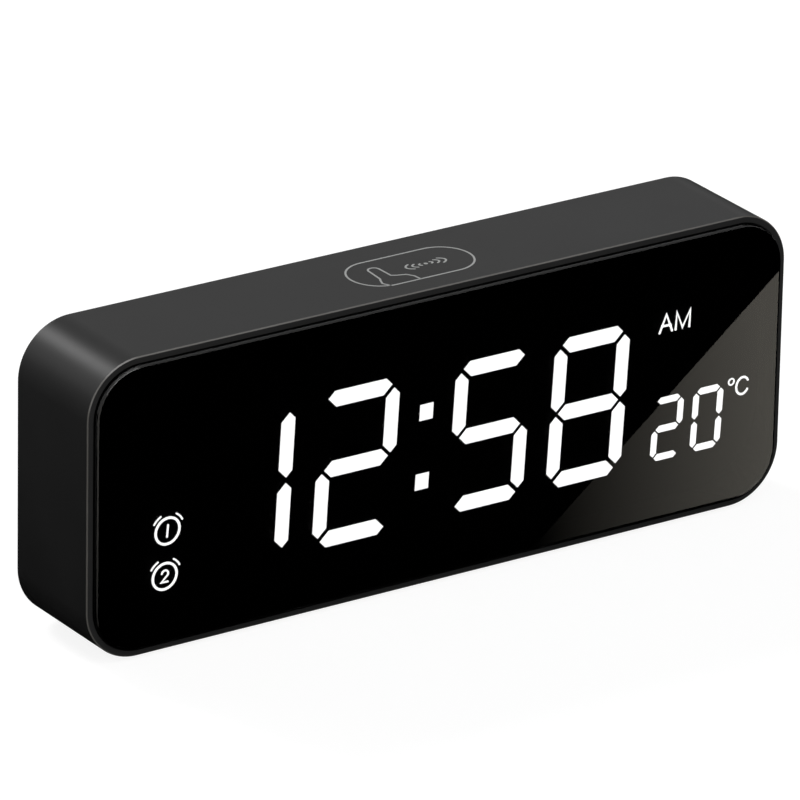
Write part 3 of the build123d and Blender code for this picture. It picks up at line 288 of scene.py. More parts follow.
@dataclass(frozen=True)
class Ink(Finish):
    """Thin matt print with a slightly uneven edge of colour."""

    colour: Colour
    roughness: float = 0.6
    speck: float = 0.3 * MM

    def paint(self, graph: Graph) -> None:
        """Fills the material's node tree.

        Args:
            graph: Node tree to fill.
        """
        fine = graph.noise(self.speck, 4.0)
        graph.put({"Roughness": self.roughness})
        tint = graph.tint(fine, shade(self.colour, 0.86), self.colour)
        graph.join(tint, graph.shader.inputs["Base Color"])


@dataclass(frozen=True)
class BareMetal(Finish):
    """Bare or plated metal with fine drawing marks."""

    colour: Colour
    roughness: float
    mark: float = 0.15 * MM
    edge: float = 0.08 * MM
    unevenness: float = 0.06
    depth: float = 0.002 * MM

    def paint(self, graph: Graph) -> None:
        """Fills the material's node tree.

        Args:
            graph: Node tree to fill.
        """
        fine = graph.noise(self.mark, 3.0)
        graph.put({"Metallic": 1.0})
        tint = graph.tint(fine, shade(self.colour, 0.88), self.colour)
        graph.join(tint, graph.shader.inputs["Base Color"])
        rough = graph.scale(fine, self.roughness - self.unevenness, self.roughness + self.unevenness)
        graph.join(rough, graph.shader.inputs["Roughness"])
        graph.bump(fine, self.depth, self.edge)


@dataclass(frozen=True)
class Laminate(Finish):
    """Circuit board with tracks that show through its solder mask."""

    mask: Colour
    track: Colour
    pitch: float = 1.6 * MM
    roughness: float = 0.32
    track_edge: Point2 = (0.45, 0.55)
    track_rise: float = 0.02 * MM

    def paint(self, graph: Graph) -> None:
        """Fills the material's node tree.

        Args:
            graph: Node tree to fill.
        """
        place = graph.add("ShaderNodeTexCoord")
        cells = graph.add("ShaderNodeTexVoronoi", distance="MANHATTAN", feature="F1")
        cells.inputs["Scale"].default_value = 1.0 / self.pitch
        graph.join(place.outputs["Object"], cells.inputs["Vector"])
        line = graph.scale(cells.outputs["Distance"], 0.0, 1.0, self.track_edge)
        graph.put({"Roughness": self.roughness})
        graph.join(graph.tint(line, self.mask, self.track), graph.shader.inputs["Base Color"])
        graph.bump(line, self.track_rise)


CASE_BLACK = MouldedPlastic("satin_black_case", (0.0112, 0.0112, 0.0112), 0.4, edge=0.0, gloss=0.053)
RIM_BLACK = MouldedPlastic("matt_black_rim", (0.0155, 0.0155, 0.0155), 0.7, edge=0.0, gloss=0.02)
# Rim's outer chamfer: its light colour is a painted highlight for the thin bright edge line; its higher
# gloss is real shine.
RIM_EDGE_PAINTED_HIGHLIGHT = MouldedPlastic("rim_edge_painted_highlight", (0.09, 0.086, 0.08), 0.2, edge=0.0, gloss=0.6)
COVER_BLACK = MouldedPlastic("eroded_black_cover", (0.016, 0.016, 0.0165), 0.5, 0.4 * MM, 0.012 * MM,
                             gloss=0.15)
KEY_BLACK = MouldedPlastic("silk_black_key", (0.026, 0.026, 0.027), 0.42, edge=0.2 * MM, gloss=0.25)
FOOT_RUBBER = MouldedPlastic("grey_black_rubber", (0.035, 0.035, 0.036), 0.82, 0.3 * MM, 0.02 * MM)
REFLECTOR = MouldedPlastic("dull_black_reflector", (0.002, 0.002, 0.002), 0.8, gloss=0.1)
DARK_BAR = MouldedPlastic("unlit_light_guide", (0.003, 0.003, 0.0035), 0.7, gloss=0.1)
SIGN_MASK = MouldedPlastic("printed_sign_mask", (0.002, 0.002, 0.002), 0.8, gloss=0.1)
ADHESIVE = MouldedPlastic("black_foam_tape", (0.012, 0.012, 0.012), 0.9, 0.12 * MM, 0.02 * MM)
CHIP_BLACK = MouldedPlastic("black_chip_resin", (0.022, 0.022, 0.024), 0.55)
PLUNGER_GREY = MouldedPlastic("pale_plunger", (0.55, 0.54, 0.5), 0.45)
LED_RESIN = MouldedPlastic("cream_led_resin", (0.78, 0.72, 0.5), 0.4)
LENS = SmokedLens("smoked_lens", (0.1, 0.1, 0.1), 1.75, (0.32, 0.32, 0.32))
LIT_WHITE = Glow("lit_white", (1.0, 1.0, 1.0), 11.8)
PRINT_GREY = Ink("touch_print", (0.27, 0.275, 0.27))
SIGN_GREY = Ink("key_print", (0.5, 0.5, 0.5))
STEEL = BareMetal("zinc_plated_steel", (0.62, 0.62, 0.63), 0.3)
SPRING_BRONZE = BareMetal("nickel_contact", (0.7, 0.67, 0.6), 0.26)
COPPER = BareMetal("copper_foil", (0.72, 0.42, 0.27), 0.36)
BOARD_GREEN = Laminate("green_board", (0.012, 0.075, 0.035), (0.03, 0.14, 0.06))
SLEEVE_DARK = MouldedPlastic("cell_sleeve", (0.02, 0.035, 0.075), 0.28, depth=0.002 * MM)
SLEEVE_BAND = MouldedPlastic("cell_band", (0.55, 0.52, 0.46), 0.3, depth=0.002 * MM)


@dataclass(frozen=True)
class Sheet:
    """A flat working plane on the clock, with its own directions."""

    origin: Vector
    across: Vector
    up: Vector
    out: Vector

    def at(self, u: float, v: float, rise: float = 0.0) -> Vector:
        """A point on the plane, or above it by a rise."""
        return self.origin + u * self.across + v * self.up + rise * self.out


def rounded_ring(width: float, height: float, corner: float, steps: int = CORNER_STEPS) -> list[Point2]:
    """Outline of a rectangle with round corners.

    Args:
        width: Full width.
        height: Full height.
        corner: Corner radius.
        steps: Spans in each corner.

    Returns:
        Points in order round the outline.
    """
    points = []
    for quarter, (across, up) in enumerate(((1, 1), (-1, 1), (-1, -1), (1, -1))):
        for step in range(steps + 1):
            angle = (quarter + step / steps) * pi / 2
            x = across * (width / 2 - corner) + corner * cos(angle)
            z = up * (height / 2 - corner) + corner * sin(angle)
            points.append((x, z))
    return points


def arc(centre: Point2, radius: Point2, start: float, end: float, steps: int = 24) -> list[Point2]:
    """Points along a round or oval arc.

    Args:
        centre: Middle of the arc.
        radius: Reach across and up.
        start: First angle, in degrees.
        end: Last angle, in degrees.
        steps: Number of spans.

    Returns:
        Points from the first angle to the last.
    """
    points = []
    for step in range(steps + 1):
        angle = radians(start + (end - start) * step / steps)
        points.append((centre[0] + radius[0] * cos(angle), centre[1] + radius[1] * sin(angle)))
    return points


def soft_edge(radius: float, steps: int = EDGE_STEPS) -> list[Point2]:
    """Quarter of a round edge, from the face to the side.

    Args:
        radius: Radius of the edge.
        steps: Number of spans.

    Returns:
        Pairs of inset and depth.
    """
    pairs = []
    for step in range(steps + 1):
        angle = step / steps * pi / 2
        pairs.append((radius * (1 - sin(angle)), radius * (1 - cos(angle))))
    return pairs


def directions(path: Sequence[Point2], closed: bool) -> list[Point2]:
    """Unit direction of every span of a path.

    Args:
        path: Points of the path.
        closed: Whether the path returns to its start.

    Returns:
        One direction a span.
    """
    ends = [*path[1:], path[0]] if closed else path[1:]
    spans = []
    for (x0, z0), (x1, z1) in zip(path, ends):
        length = hypot(x1 - x0, z1 - z0)
        spans.append(((x1 - x0) / length, (z1 - z0) / length))
    return spans


def stroke_sections(path: Sequence[Point2], half: float, closed: bool) -> list[tuple[Point2, Point2]]:
    """Left and right edge points of a stroke, with round ends where it is open.

    Args:
        path: Middle line of the stroke.
        half: Half its width.
        closed: Whether the line returns to its start.

    Returns:
        Pairs of left and right points along the stroke.
    """
    spans = directions(path, closed)
    sections = []
    for place, (x, z) in enumerate(path):
        after = spans[place] if closed or place < len(spans) else spans[-1]
        before = spans[place - 1] if closed or place else after
        nx, nz = -(before[1] + after[1]), before[0] + after[0]
        size = hypot(nx, nz)
        reach = half * min(2.0 / size, MITRE_LIMIT) / size
        sections.append(((x + nx * reach, z + nz * reach), (x - nx * reach, z - nz * reach)))
    if closed:
        return sections
    first = [round_end(path[0], spans[0], half, -angle) for angle in CAP_ANGLES]
    last = [round_end(path[-1], spans[-1], half, angle) for angle in reversed(CAP_ANGLES)]
    return [*first, *sections, *last]


def round_end(tip: Point2, way: Point2, half: float, angle: float) -> tuple[Point2, Point2]:
    """One cross line of a stroke's round end.

    Args:
        tip: End of the stroke's middle line.
        way: Direction of the stroke at that end.
        half: Half its width.
        angle: Angle past the tip, in degrees.

    Returns:
        Left and right points of the cross line.
    """
    x = tip[0] + way[0] * half * sin(radians(angle))
    z = tip[1] + way[1] * half * sin(radians(angle))
    reach = half * cos(radians(angle))
    return (x - way[1] * reach, z + way[0] * reach), (x + way[1] * reach, z - way[0] * reach)


@dataclass
class Shell:
    """Points and faces of one piece while it is being made."""

    points: list[Vector] = field(default_factory=list)
    faces: list[tuple[int, ...]] = field(default_factory=list)
    tones: list[int] = field(default_factory=list)

    def ring(self, points: Sequence[Vector]) -> list[int]:
        """Adds points.

        Args:
            points: The points.

        Returns:
            Their numbers.
        """
        start = len(self.points)
        self.points.extend(points)
        return list(range(start, len(self.points)))

    def face(self, corners: Sequence[int], tone: int = 0) -> None:
        """Adds one face with the finish of that number."""
        self.faces.append(tuple(corners))
        self.tones.append(tone)

    def bridge(self, first: Sequence[int], second: Sequence[int], tone: int = 0) -> None:
        """Joins two closed rings of equal length with four-sided faces.

        Args:
            first: Numbers of the first ring's points.
            second: Numbers of the second ring's points.
            tone: Finish number of the faces.
        """
        for place in range(len(first)):
            after = (place + 1) % len(first)
            self.face((first[place], first[after], second[after], second[place]), tone)

    def loft(self, rings: Sequence[Sequence[Vector]], looped: bool = False,
             tones: Sequence[int] = ()) -> None:
        """Skins a row of rings.

        Args:
            rings: Rings with equal numbers of points.
            looped: Whether the last ring joins the first; otherwise both ends are closed.
            tones: Finish number of each span; the first finish where it is left out.
        """
        numbers = [self.ring(points) for points in rings]
        for place, (first, second) in enumerate(zip(numbers, numbers[1:])):
            self.bridge(first, second, tones[place] if tones else 0)
        if looped:
            self.bridge(numbers[-1], numbers[0], tones[-1] if tones else 0)
        else:
            self.face(numbers[0], tones[0] if tones else 0)
            self.face(numbers[-1], tones[-1] if tones else 0)

    def slab(self, sheet: Sheet, outline: Sequence[Point2], rise: Point2) -> None:
        """Adds a flat plate with an outline, between two heights above a plane."""
        self.loft([[sheet.at(u, v, height) for u, v in outline] for height in rise])

    def stroke(self, sheet: Sheet, path: Sequence[Point2], width: float, rise: Point2,
               closed: bool = False) -> None:
        """Adds a flat stroke along a line.

        Args:
            sheet: Plane that it lies on.
            path: Middle line.
            width: Width of the stroke.
            rise: Its lower and upper height above the plane.
            closed: Whether the line returns to its start.
        """
        rings = []
        for left, right in stroke_sections(path, width / 2, closed):
            corners = ((left, rise[0]), (right, rise[0]), (right, rise[1]), (left, rise[1]))
            rings.append([sheet.at(*point, height) for point, height in corners])
        self.loft(rings, looped=closed)

    def build(self, name: str, body: str, slot: str, *finishes: Finish) -> bpy.types.Object:
        """Makes the piece.

        Args:
            name: Name of the piece.
            body: Body that it rides on.
            slot: Not used.
            finishes: Finishes by number.

        Returns:
            The new object.
        """
        mesh = bpy.data.meshes.new(name)
        mesh.from_pydata([tuple(point) for point in self.points], [], self.faces)
        for finish in finishes:
            mesh.materials.append(finish.material())
        mesh.polygons.foreach_set("material_index", self.tones)
        work = bmesh.new()
        work.from_mesh(mesh)
        bmesh.ops.recalc_face_normals(work, faces=work.faces)
        work.to_mesh(mesh)
        work.free()
        mesh.polygons.foreach_set("use_smooth", [True] * len(mesh.polygons))
        mesh.set_sharp_from_angle(angle=radians(SHARP_ANGLE))
        piece = bpy.data.objects.new(name, mesh)
        bpy.context.scene.collection.objects.link(piece)
        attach(piece, body)
        LOG.info("%s: %d faces on %s", name, len(mesh.polygons), body)
        return piece


def dress(finish: Finish, *nodes: str) -> None:
    """Gives carried-over nodes a finish.

    Args:
        finish: The finish.
        nodes: Names of the nodes.
    """
    for node in nodes:
        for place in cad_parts[node].material_slots:
            place.material = finish.material()
        LOG.info("%s: dressed in %s", node, finish.name)


CASE_LOW, CASE_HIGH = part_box("case_shell")
LENS_LOW, LENS_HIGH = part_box("display_lens")
COVER_LOW, COVER_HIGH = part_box("rear_cover")
FRAME_LOW, FRAME_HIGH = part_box("digit_frame")
CASE_MIDDLE = (CASE_LOW.z + CASE_HIGH.z) / 2
RIM_Y = CASE_LOW.y
RIGHT = Vector((1, 0, 0))
BACK = Vector((0, 1, 0))
UP = Vector((0, 0, 1))
FACE_SHEET = Sheet(Vector((0, FRAME_LOW.y, CASE_MIDDLE)), RIGHT, UP, -BACK)
TOP_SHEET = Sheet(Vector((0, RIM_Y, CASE_HIGH.z)), RIGHT, BACK, UP)
COVER_SHEET = Sheet(Vector((0, COVER_HIGH.y, CASE_MIDDLE)), -RIGHT, UP, BACK)


@dataclass
class Housing:
    """Moulded case, its cover, the feet and the adhesive ring."""

    corner: float = 11.3 * MM
    rim: float = 1.38 * MM
    rim_edge: float = 0.22 * MM
    lip_edge: float = 0.08 * MM
    back_edge: float = 0.25 * MM
    back_lip: float = 1.0 * MM
    wall: float = 2.0 * MM
    ledge: float = 5.45 * MM
    window_corner: float = 15.5 * MM
    pocket_depth: float = 1.2 * MM
    ledge_depth: float = 3.0 * MM
    cover_thick: float = 2.0 * MM
    foot_edge: float = 0.35 * MM
    foot_dish: float = 0.12 * MM
    foot_spread: float = 13.0 * MM
    dish_share: Point2 = (0.55, 0.72)
    foot_sides: int = 47

    def ring(self, depth: float, inset: float, corner: float | None = None) -> list[Vector]:
        """One outline of the case.

        Args:
            depth: Distance behind the rim.
            inset: Distance inside the case's outline.
            corner: Corner radius where it doesn't follow the inset.

        Returns:
            Points round the outline.
        """
        size = CASE_HIGH - CASE_LOW
        radius = self.corner - inset if corner is None else corner
        outline = rounded_ring(size.x - 2 * inset, size.z - 2 * inset, radius)
        return [Vector((x, RIM_Y + depth, CASE_MIDDLE + z)) for x, z in outline]

    def case(self) -> None:
        """Builds the case as one closed skin, from the window round the outside to the ledge's back."""
        depth = CASE_HIGH.y - CASE_LOW.y
        seat = COVER_HIGH.y - RIM_Y - self.cover_thick
        rings = [
            self.ring(self.pocket_depth, self.ledge, self.window_corner),
            self.ring(self.pocket_depth, self.rim),
            self.ring(self.lip_edge, self.rim),
            self.ring(0.0, self.rim - self.lip_edge),
        ]
        rings += [self.ring(0.0, self.rim_edge), self.ring(self.rim_edge, 0.0)]
        rings.append(self.ring(depth - 2 * self.back_edge, 0.0))
        rings += [self.ring(depth - down, inset) for inset, down in reversed(soft_edge(self.back_edge))]
        rings += [
            self.ring(depth, self.back_lip - self.lip_edge),
            self.ring(depth - self.lip_edge, self.back_lip),
            self.ring(seat, self.back_lip),
            self.ring(seat, self.wall),
            self.ring(self.ledge_depth, self.wall),
            self.ring(self.ledge_depth, self.ledge, self.window_corner),
        ]
        # The fifth span, the rim's outer chamfer, takes finish 2, whose light colour is a painted
        # highlight.
        tones = [0, 0, 1, 1, 2] + [0] * (len(rings) - 5)
        shell = Shell()
        shell.loft(rings, True, tones)
        case = shell.build("case_skin", HOUSING, "case_plastic", CASE_BLACK, RIM_BLACK, RIM_EDGE_PAINTED_HIGHLIGHT)
        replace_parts(case, "case_shell")

    def feet(self) -> None:
        """Builds the four feet, each a disc with a soft edge and a shallow dish."""
        low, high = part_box("rubber_feet")
        radius = (high.y - low.y - self.foot_spread) / 2
        shell = Shell()
        profile = [(radius * self.dish_share[0], self.foot_dish), (radius * self.dish_share[1], 0.0)]
        profile += [(radius - inset, down) for inset, down in soft_edge(self.foot_edge)]
        profile.append((radius, high.z - low.z))
        for x in (low.x + radius, high.x - radius):
            for y in (low.y + radius, high.y - radius):
                rings = []
                for reach, height in profile:
                    circle = arc((x, y), (reach, reach), 0.0, 360.0, self.foot_sides)[:-1]
                    rings.append([Vector((u, v, low.z + height)) for u, v in circle])
                shell.loft(rings)
        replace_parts(shell.build("foot_pads", HOUSING, "foot_rubber", FOOT_RUBBER), "rubber_feet")

    def build(self) -> None:
        """Builds and dresses the housing."""
        self.case()
        self.feet()
        dress(COVER_BLACK, "rear_cover")
        dress(ADHESIVE, "lens_tape")


@dataclass
class Display:
    """Smoked lens, lit figures and lit signs."""

    corner: float = 9.85 * MM
    edge: float = 0.52 * MM
    edge_steps: int = 10
    collar: float = 0.05 * MM
    slant: float = tan(radians(3.0))
    rise: Point2 = (0.06 * MM, 0.16 * MM)
    letter_stroke: float = 0.46 * MM
    ring_stroke: float = 0.5 * MM
    numeral_stroke: float = 0.38 * MM
    bell_stroke: float = 0.36 * MM
    degree_stroke: float = 0.32 * MM
    letters_at: Point2 = (54.36, 11.74)
    degree_at: Point2 = (68.2, -4.02)
    unit_at: Point2 = (70.9, -5.36)
    first_alarm_at: Point2 = (-62.05, -6.4)
    second_alarm_at: Point2 = (-62.6, -15.6)
    alarm_ring: float = 2.65
    alarm_bell: float = 3.62
    degree_ring: float = 0.64
    unit_size: Point2 = (1.46, 1.78)

    def lens(self) -> None:
        """Builds the lens with a round front edge."""
        size = LENS_HIGH - LENS_LOW
        profile = [(self.edge + self.collar, LENS_LOW.y)]
        profile += [(inset, LENS_LOW.y + down) for inset, down in soft_edge(self.edge, self.edge_steps)]
        profile += [(0.0, LENS_LOW.y + self.edge + self.collar), (0.0, LENS_HIGH.y)]
        rings = []
        for inset, y in profile:
            outline = rounded_ring(size.x - 2 * inset, size.z - 2 * inset, self.corner - inset)
            rings.append([Vector((x, y, CASE_MIDDLE + z)) for x, z in outline])
        shell = Shell()
        shell.loft(rings)
        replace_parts(shell.build("lens_sheet", HOUSING, "lens_acrylic", LENS), "display_lens")

    def lean(self, path: Sequence[Point2], middle: Point2) -> list[Point2]:
        """Moves a path drawn about its own middle, in millimetres, to its leaning place."""
        return [((middle[0] + x + z * self.slant) * MM, (middle[1] + z) * MM) for x, z in path]

    def alarm_sign(self, shell: Shell, middle: Point2, numeral: Sequence[Point2]) -> None:
        """Adds one alarm sign: a ring, two bells and a numeral.

        Args:
            shell: Piece that it goes into.
            middle: Middle of the ring, in millimetres.
            numeral: Line of the numeral about that middle, in millimetres.
        """
        ring = self.lean(arc((0.0, 0.0), (self.alarm_ring, self.alarm_ring), 0.0, 360.0, 48)[:-1], middle)
        shell.stroke(FACE_SHEET, ring, self.ring_stroke, self.rise, closed=True)
        shell.stroke(FACE_SHEET, self.lean(numeral, middle), self.numeral_stroke, self.rise)
        for start, end in ((29.0, 60.0), (118.0, 149.0)):
            bell = self.lean(arc((0.0, 0.0), (self.alarm_bell, self.alarm_bell), start, end, 6), middle)
            shell.stroke(FACE_SHEET, bell, self.bell_stroke, self.rise)

    def signs(self) -> None:
        """Builds the lit signs: morning letters, temperature unit and two alarm signs."""
        shell = Shell()
        letters = (
            [(-3.8, -1.8), (-2.25, 1.8), (-0.85, -1.8)],
            [(-3.18, -0.48), (-1.32, -0.52)],
            [(0.0, -1.8), (0.24, 1.8), (1.62, -1.62), (3.42, 1.8), (3.24, -1.8)],
        )
        for path in letters:
            place = [((self.letters_at[0] + x) * MM, (self.letters_at[1] + z) * MM) for x, z in path]
            shell.stroke(FACE_SHEET, place, self.letter_stroke, self.rise)
        ring = arc((0.0, 0.0), (self.degree_ring, self.degree_ring), 0.0, 360.0, 24)[:-1]
        degree = self.lean(ring, self.degree_at)
        shell.stroke(FACE_SHEET, degree, self.degree_stroke, self.rise, closed=True)
        unit = self.lean(arc((0.0, 0.0), self.unit_size, 34.0, 328.0, 30), self.unit_at)
        shell.stroke(FACE_SHEET, unit, self.letter_stroke, self.rise)
        one = [(0.05, 1.18), (-0.05, -1.18)]
        two = arc((0.02, 0.5), (0.72, 0.7), 170.0, -30.0, 12) + [(-0.7, -1.18), (0.74, -1.18)]
        self.alarm_sign(shell, self.first_alarm_at, one)
        self.alarm_sign(shell, self.second_alarm_at, two)
        shell.build("lit_signs", HOUSING, "lit_bar", LIT_WHITE)

    def build(self) -> None:
        """Builds and dresses the display."""
        self.lens()
        self.signs()
        dress(LIT_WHITE, "lit_segments")
        dress(DARK_BAR, "unlit_segments")
        dress(SIGN_MASK, "indicator_diffusers")
        dress(REFLECTOR, "digit_frame")


@dataclass
class TouchPrint:
    """Thin grey print of the touch zone on the top."""

    middle: Point2 = (-0.35 * MM, 11.6 * MM)
    length: float = 27.5 * MM
    width: float = 13.1 * MM
    line: float = 0.4 * MM
    rise: Point2 = (0.0, 0.015 * MM)
    ripple_at: Point2 = (3.4, -0.3)
    ripple_reach: Point2 = (1.5, 0.62)
    dot: float = 0.42

    def place(self, path: Sequence[Point2]) -> list[Point2]:
        """Moves a path drawn about the zone's middle, in millimetres, to its place."""
        return [(self.middle[0] + x * MM, self.middle[1] + y * MM) for x, y in path]

    def build(self) -> None:
        """Builds the zone's outline, a finger and a row of ripples."""
        shell = Shell()
        height = self.width - self.line
        zone = rounded_ring(self.length - self.line, height, height / 2 - HAIR)
        zone = [(self.middle[0] + x, self.middle[1] + y) for x, y in zone]
        shell.stroke(TOP_SHEET, zone, self.line, self.rise, closed=True)
        finger = [(-8.6, -6.2), (-9.4, -4.6), (-8.9, -3.2), (-8.5, -2.4), (-8.2, 1.6)]
        finger += arc((-7.0, 1.9), (1.2, 1.2), 180.0, 0.0, 12)
        finger += [(-5.7, -1.9), (-4.6, -2.5), (-2.9, -3.0), (-2.0, -4.4), (-1.8, -6.2)]
        shell.stroke(TOP_SHEET, self.place(finger), self.line, self.rise)
        for radius in (1.0, 2.0, 3.0):
            for start in (-42.0, 138.0):
                reach = (radius * self.ripple_reach[0], radius * self.ripple_reach[1])
                ripple = arc(self.ripple_at, reach, start, start + 84.0, 12)
                shell.stroke(TOP_SHEET, self.place(ripple), self.line, self.rise)
        dot = self.place(arc(self.ripple_at, (self.dot, self.dot), 0.0, 360.0, 24)[:-1])
        shell.slab(TOP_SHEET, dot, self.rise)
        shell.build("touch_zone_print", HOUSING, "case_plastic", PRINT_GREY)


class Key(Enum):
    """The keys on the back, with the node name of each cap."""

    SET = "set"
    MODE = "mode"
    ALARM = "alarm"
    DOWN = "down"
    UP = "up"

    @property
    def cap(self) -> str:
        """Node of the key's cap."""
        return f"{self.value}_key"

    @property
    def body(self) -> str:
        """Body that the key's pieces ride on."""
        return f"{self.value}_button"


@dataclass
class RearControls:
    """Key caps with their signs, switches and the power inlet."""

    line: float = 0.34 * MM
    rise: Point2 = (0.0, 0.02 * MM)
    mouth_edge: float = 0.12 * MM
    shell_wall: float = 0.3 * MM

    def sign(self, key: Key, shell: Shell, sheet: Sheet) -> None:
        """Adds the sign of one key.

        Args:
            key: The key.
            shell: Piece that the sign goes into.
            sheet: Plane of the key's top, with its middle as origin.
        """
        strokes: list[tuple[list[Point2], bool]] = []
        plates: list[list[Point2]] = []
        if key is Key.SET:
            strokes.append((arc((0.0, 0.0), (1.35, 1.35), 0.0, 360.0, 36)[:-1], True))
            strokes.append(([(0.0, 0.85), (0.0, 0.0), (0.6, 0.0)], False))
        elif key is Key.MODE:
            strokes.append(([(-1.5, 0.55), (1.5, 0.55), (0.8, 1.15)], False))
            strokes.append(([(1.5, -0.55), (-1.5, -0.55), (-0.8, -1.15)], False))
        elif key is Key.ALARM:
            bell = [(-1.3, -0.85), (-0.9, -0.4)] + arc((0.0, 0.35), (0.9, 0.9), 180.0, 0.0, 14)
            strokes.append((bell + [(0.9, -0.4), (1.3, -0.85)], True))
            plates.append(arc((0.0, -1.3), (0.3, 0.3), 0.0, 360.0, 16)[:-1])
        else:
            way = 1.0 if key is Key.UP else -1.0
            plates.append([(-1.25, -0.85 * way), (1.25, -0.85 * way), (0.0, 1.05 * way)])
        for path, closed in strokes:
            shell.stroke(sheet, [(x * MM, z * MM) for x, z in path], self.line, self.rise, closed)
        for outline in plates:
            shell.slab(sheet, [(x * MM, z * MM) for x, z in outline], self.rise)

    def keys(self) -> None:
        """Dresses the caps and prints a sign on each."""
        for key in Key:
            low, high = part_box(key.cap)
            middle = (low + high) / 2
            sheet = Sheet(Vector((middle.x, high.y, middle.z)), -RIGHT, UP, BACK)
            shell = Shell()
            self.sign(key, shell, sheet)
            shell.build(f"{key.value}_key_sign", key.body, "key_plastic", SIGN_GREY)
            dress(KEY_BLACK, key.cap)
            dress(PLUNGER_GREY, f"{key.value}_plunger")

    def inlet(self) -> None:
        """Builds the inlet's drawn shell with a soft mouth."""
        low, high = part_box("usb_shell")
        middle = (low + high) / 2
        size = high - low
        profile = [(low.y, 0.0), (high.y - self.mouth_edge, 0.0), (high.y, self.mouth_edge)]
        profile += [(high.y - self.mouth_edge, self.shell_wall), (low.y, self.shell_wall)]
        rings = []
        for y, inset in profile:
            height = size.z - 2 * inset
            outline = rounded_ring(size.x - 2 * inset, height, height / 2 - HAIR)
            rings.append([Vector((middle.x + x, y, middle.z + z)) for x, z in outline])
        shell = Shell()
        shell.loft(rings, looped=True)
        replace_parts(shell.build("inlet_shell", HOUSING, "component_metal", STEEL), "usb_shell")

    def build(self) -> None:
        """Builds and dresses the keys, their board and the inlet."""
        self.keys()
        self.inlet()
        dress(CHIP_BLACK, "key_switches", "link_header", "usb_tongue")
        dress(BOARD_GREEN, "key_board")
        dress(STEEL, "key_board_screws")


@dataclass
class BatteryBay:
    """Cells, their contacts and the door."""

    sleeve_edge: float = 0.5 * MM
    band_length: float = 7.0 * MM
    nub_radius: float = 1.9 * MM
    nub_length: float = 0.8 * MM
    nub_edge: float = 0.2 * MM
    cell_length: float = 44.5 * MM
    end_share: float = 0.72
    arrow_drop: float = 12.5 * MM
    sides: int = 48
    arrow: float = 2.2 * MM
    rise: Point2 = (0.0, 0.02 * MM)

    def cells(self) -> None:
        """Builds the three cells, every second one turned round."""
        low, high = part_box("battery_cells")
        y = (low.y + high.y) / 2
        radius = (high.y - low.y) / 2
        pitch = (high.z - low.z - 2 * radius) / 2
        total = self.cell_length
        shell = Shell()
        for row in range(3):
            way = 1 if row % 2 == 0 else -1
            flat = low.x if way > 0 else high.x
            z = low.z + radius + row * pitch
            body = total - self.nub_length
            profile = [
                (0.0, radius * self.end_share, 1),
                (0.0, radius - self.sleeve_edge, 0),
                (self.sleeve_edge, radius, 0),
                (body - self.band_length, radius, 2),
                (body - self.sleeve_edge, radius, 2),
                (body, radius - self.sleeve_edge, 0),
                (body, self.nub_radius, 1),
                (total - self.nub_edge, self.nub_radius, 1),
                (total, self.nub_radius - self.nub_edge, 1),
            ]
            rings = []
            for along, reach, _ in profile:
                circle = arc((y, z), (reach, reach), 0.0, 360.0, self.sides)[:-1]
                rings.append([Vector((flat + way * along, u, v)) for u, v in circle])
            shell.loft(rings, tones=[tone for _, _, tone in profile])
        piece = shell.build("battery_cell_set", HOUSING, "cell_wrap", SLEEVE_DARK, STEEL, SLEEVE_BAND)
        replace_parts(piece, "battery_cells")

    def door_arrow(self) -> None:
        """Prints a small arrow on the door, under its latch."""
        low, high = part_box("battery_door")
        middle_x = (low.x + high.x) / 2
        sheet = Sheet(Vector((middle_x, COVER_HIGH.y, high.z - self.arrow_drop)), -RIGHT, UP, BACK)
        half, lift = self.arrow / 2, self.arrow * 0.4
        outline = [(-half, lift), (0.0, -lift), (half, lift)]
        shell = Shell()
        shell.slab(sheet, outline, self.rise)
        shell.build("door_arrow", DOOR, "cover_plastic", SIGN_GREY)

    def build(self) -> None:
        """Builds and dresses the battery bay."""
        self.cells()
        self.door_arrow()
        dress(COVER_BLACK, "battery_door")
        dress(SPRING_BRONZE, "cell_contacts")


@dataclass
class Electronics:
    """Main board and what sits on it."""

    def build(self) -> None:
        """Dresses the boards' pieces."""
        dress(BOARD_GREEN, "led_board")
        dress(LED_RESIN, "led_chips")
        dress(CHIP_BLACK, "control_chip", "sounder", "temperature_sensor")
        dress(STEEL, "clock_crystal", "supply_capacitor", "board_screws", "cover_screws")
        dress(COPPER, "touch_electrode")
        dress(SPRING_BRONZE, "touch_spring")


@dataclass(frozen=True)
class Softbox:
    """A square studio lamp."""

    name: str
    place: tuple[float, float, float]
    size: Point2
    radiance: float

    def hang(self) -> None:
        """Adds the lamp, aimed at the clock's middle."""
        lamp = bpy.data.lights.new(self.name, "AREA")
        lamp.shape = "RECTANGLE"
        lamp.size, lamp.size_y = self.size
        lamp.energy = self.radiance * pi * self.size[0] * self.size[1]
        holder = bpy.data.objects.new(self.name, lamp)
        holder.location = self.place
        aim = Vector((0, 0, CASE_MIDDLE)) - Vector(self.place)
        holder.rotation_euler = aim.to_track_quat("-Z", "Y").to_euler()
        bpy.context.scene.collection.objects.link(holder)


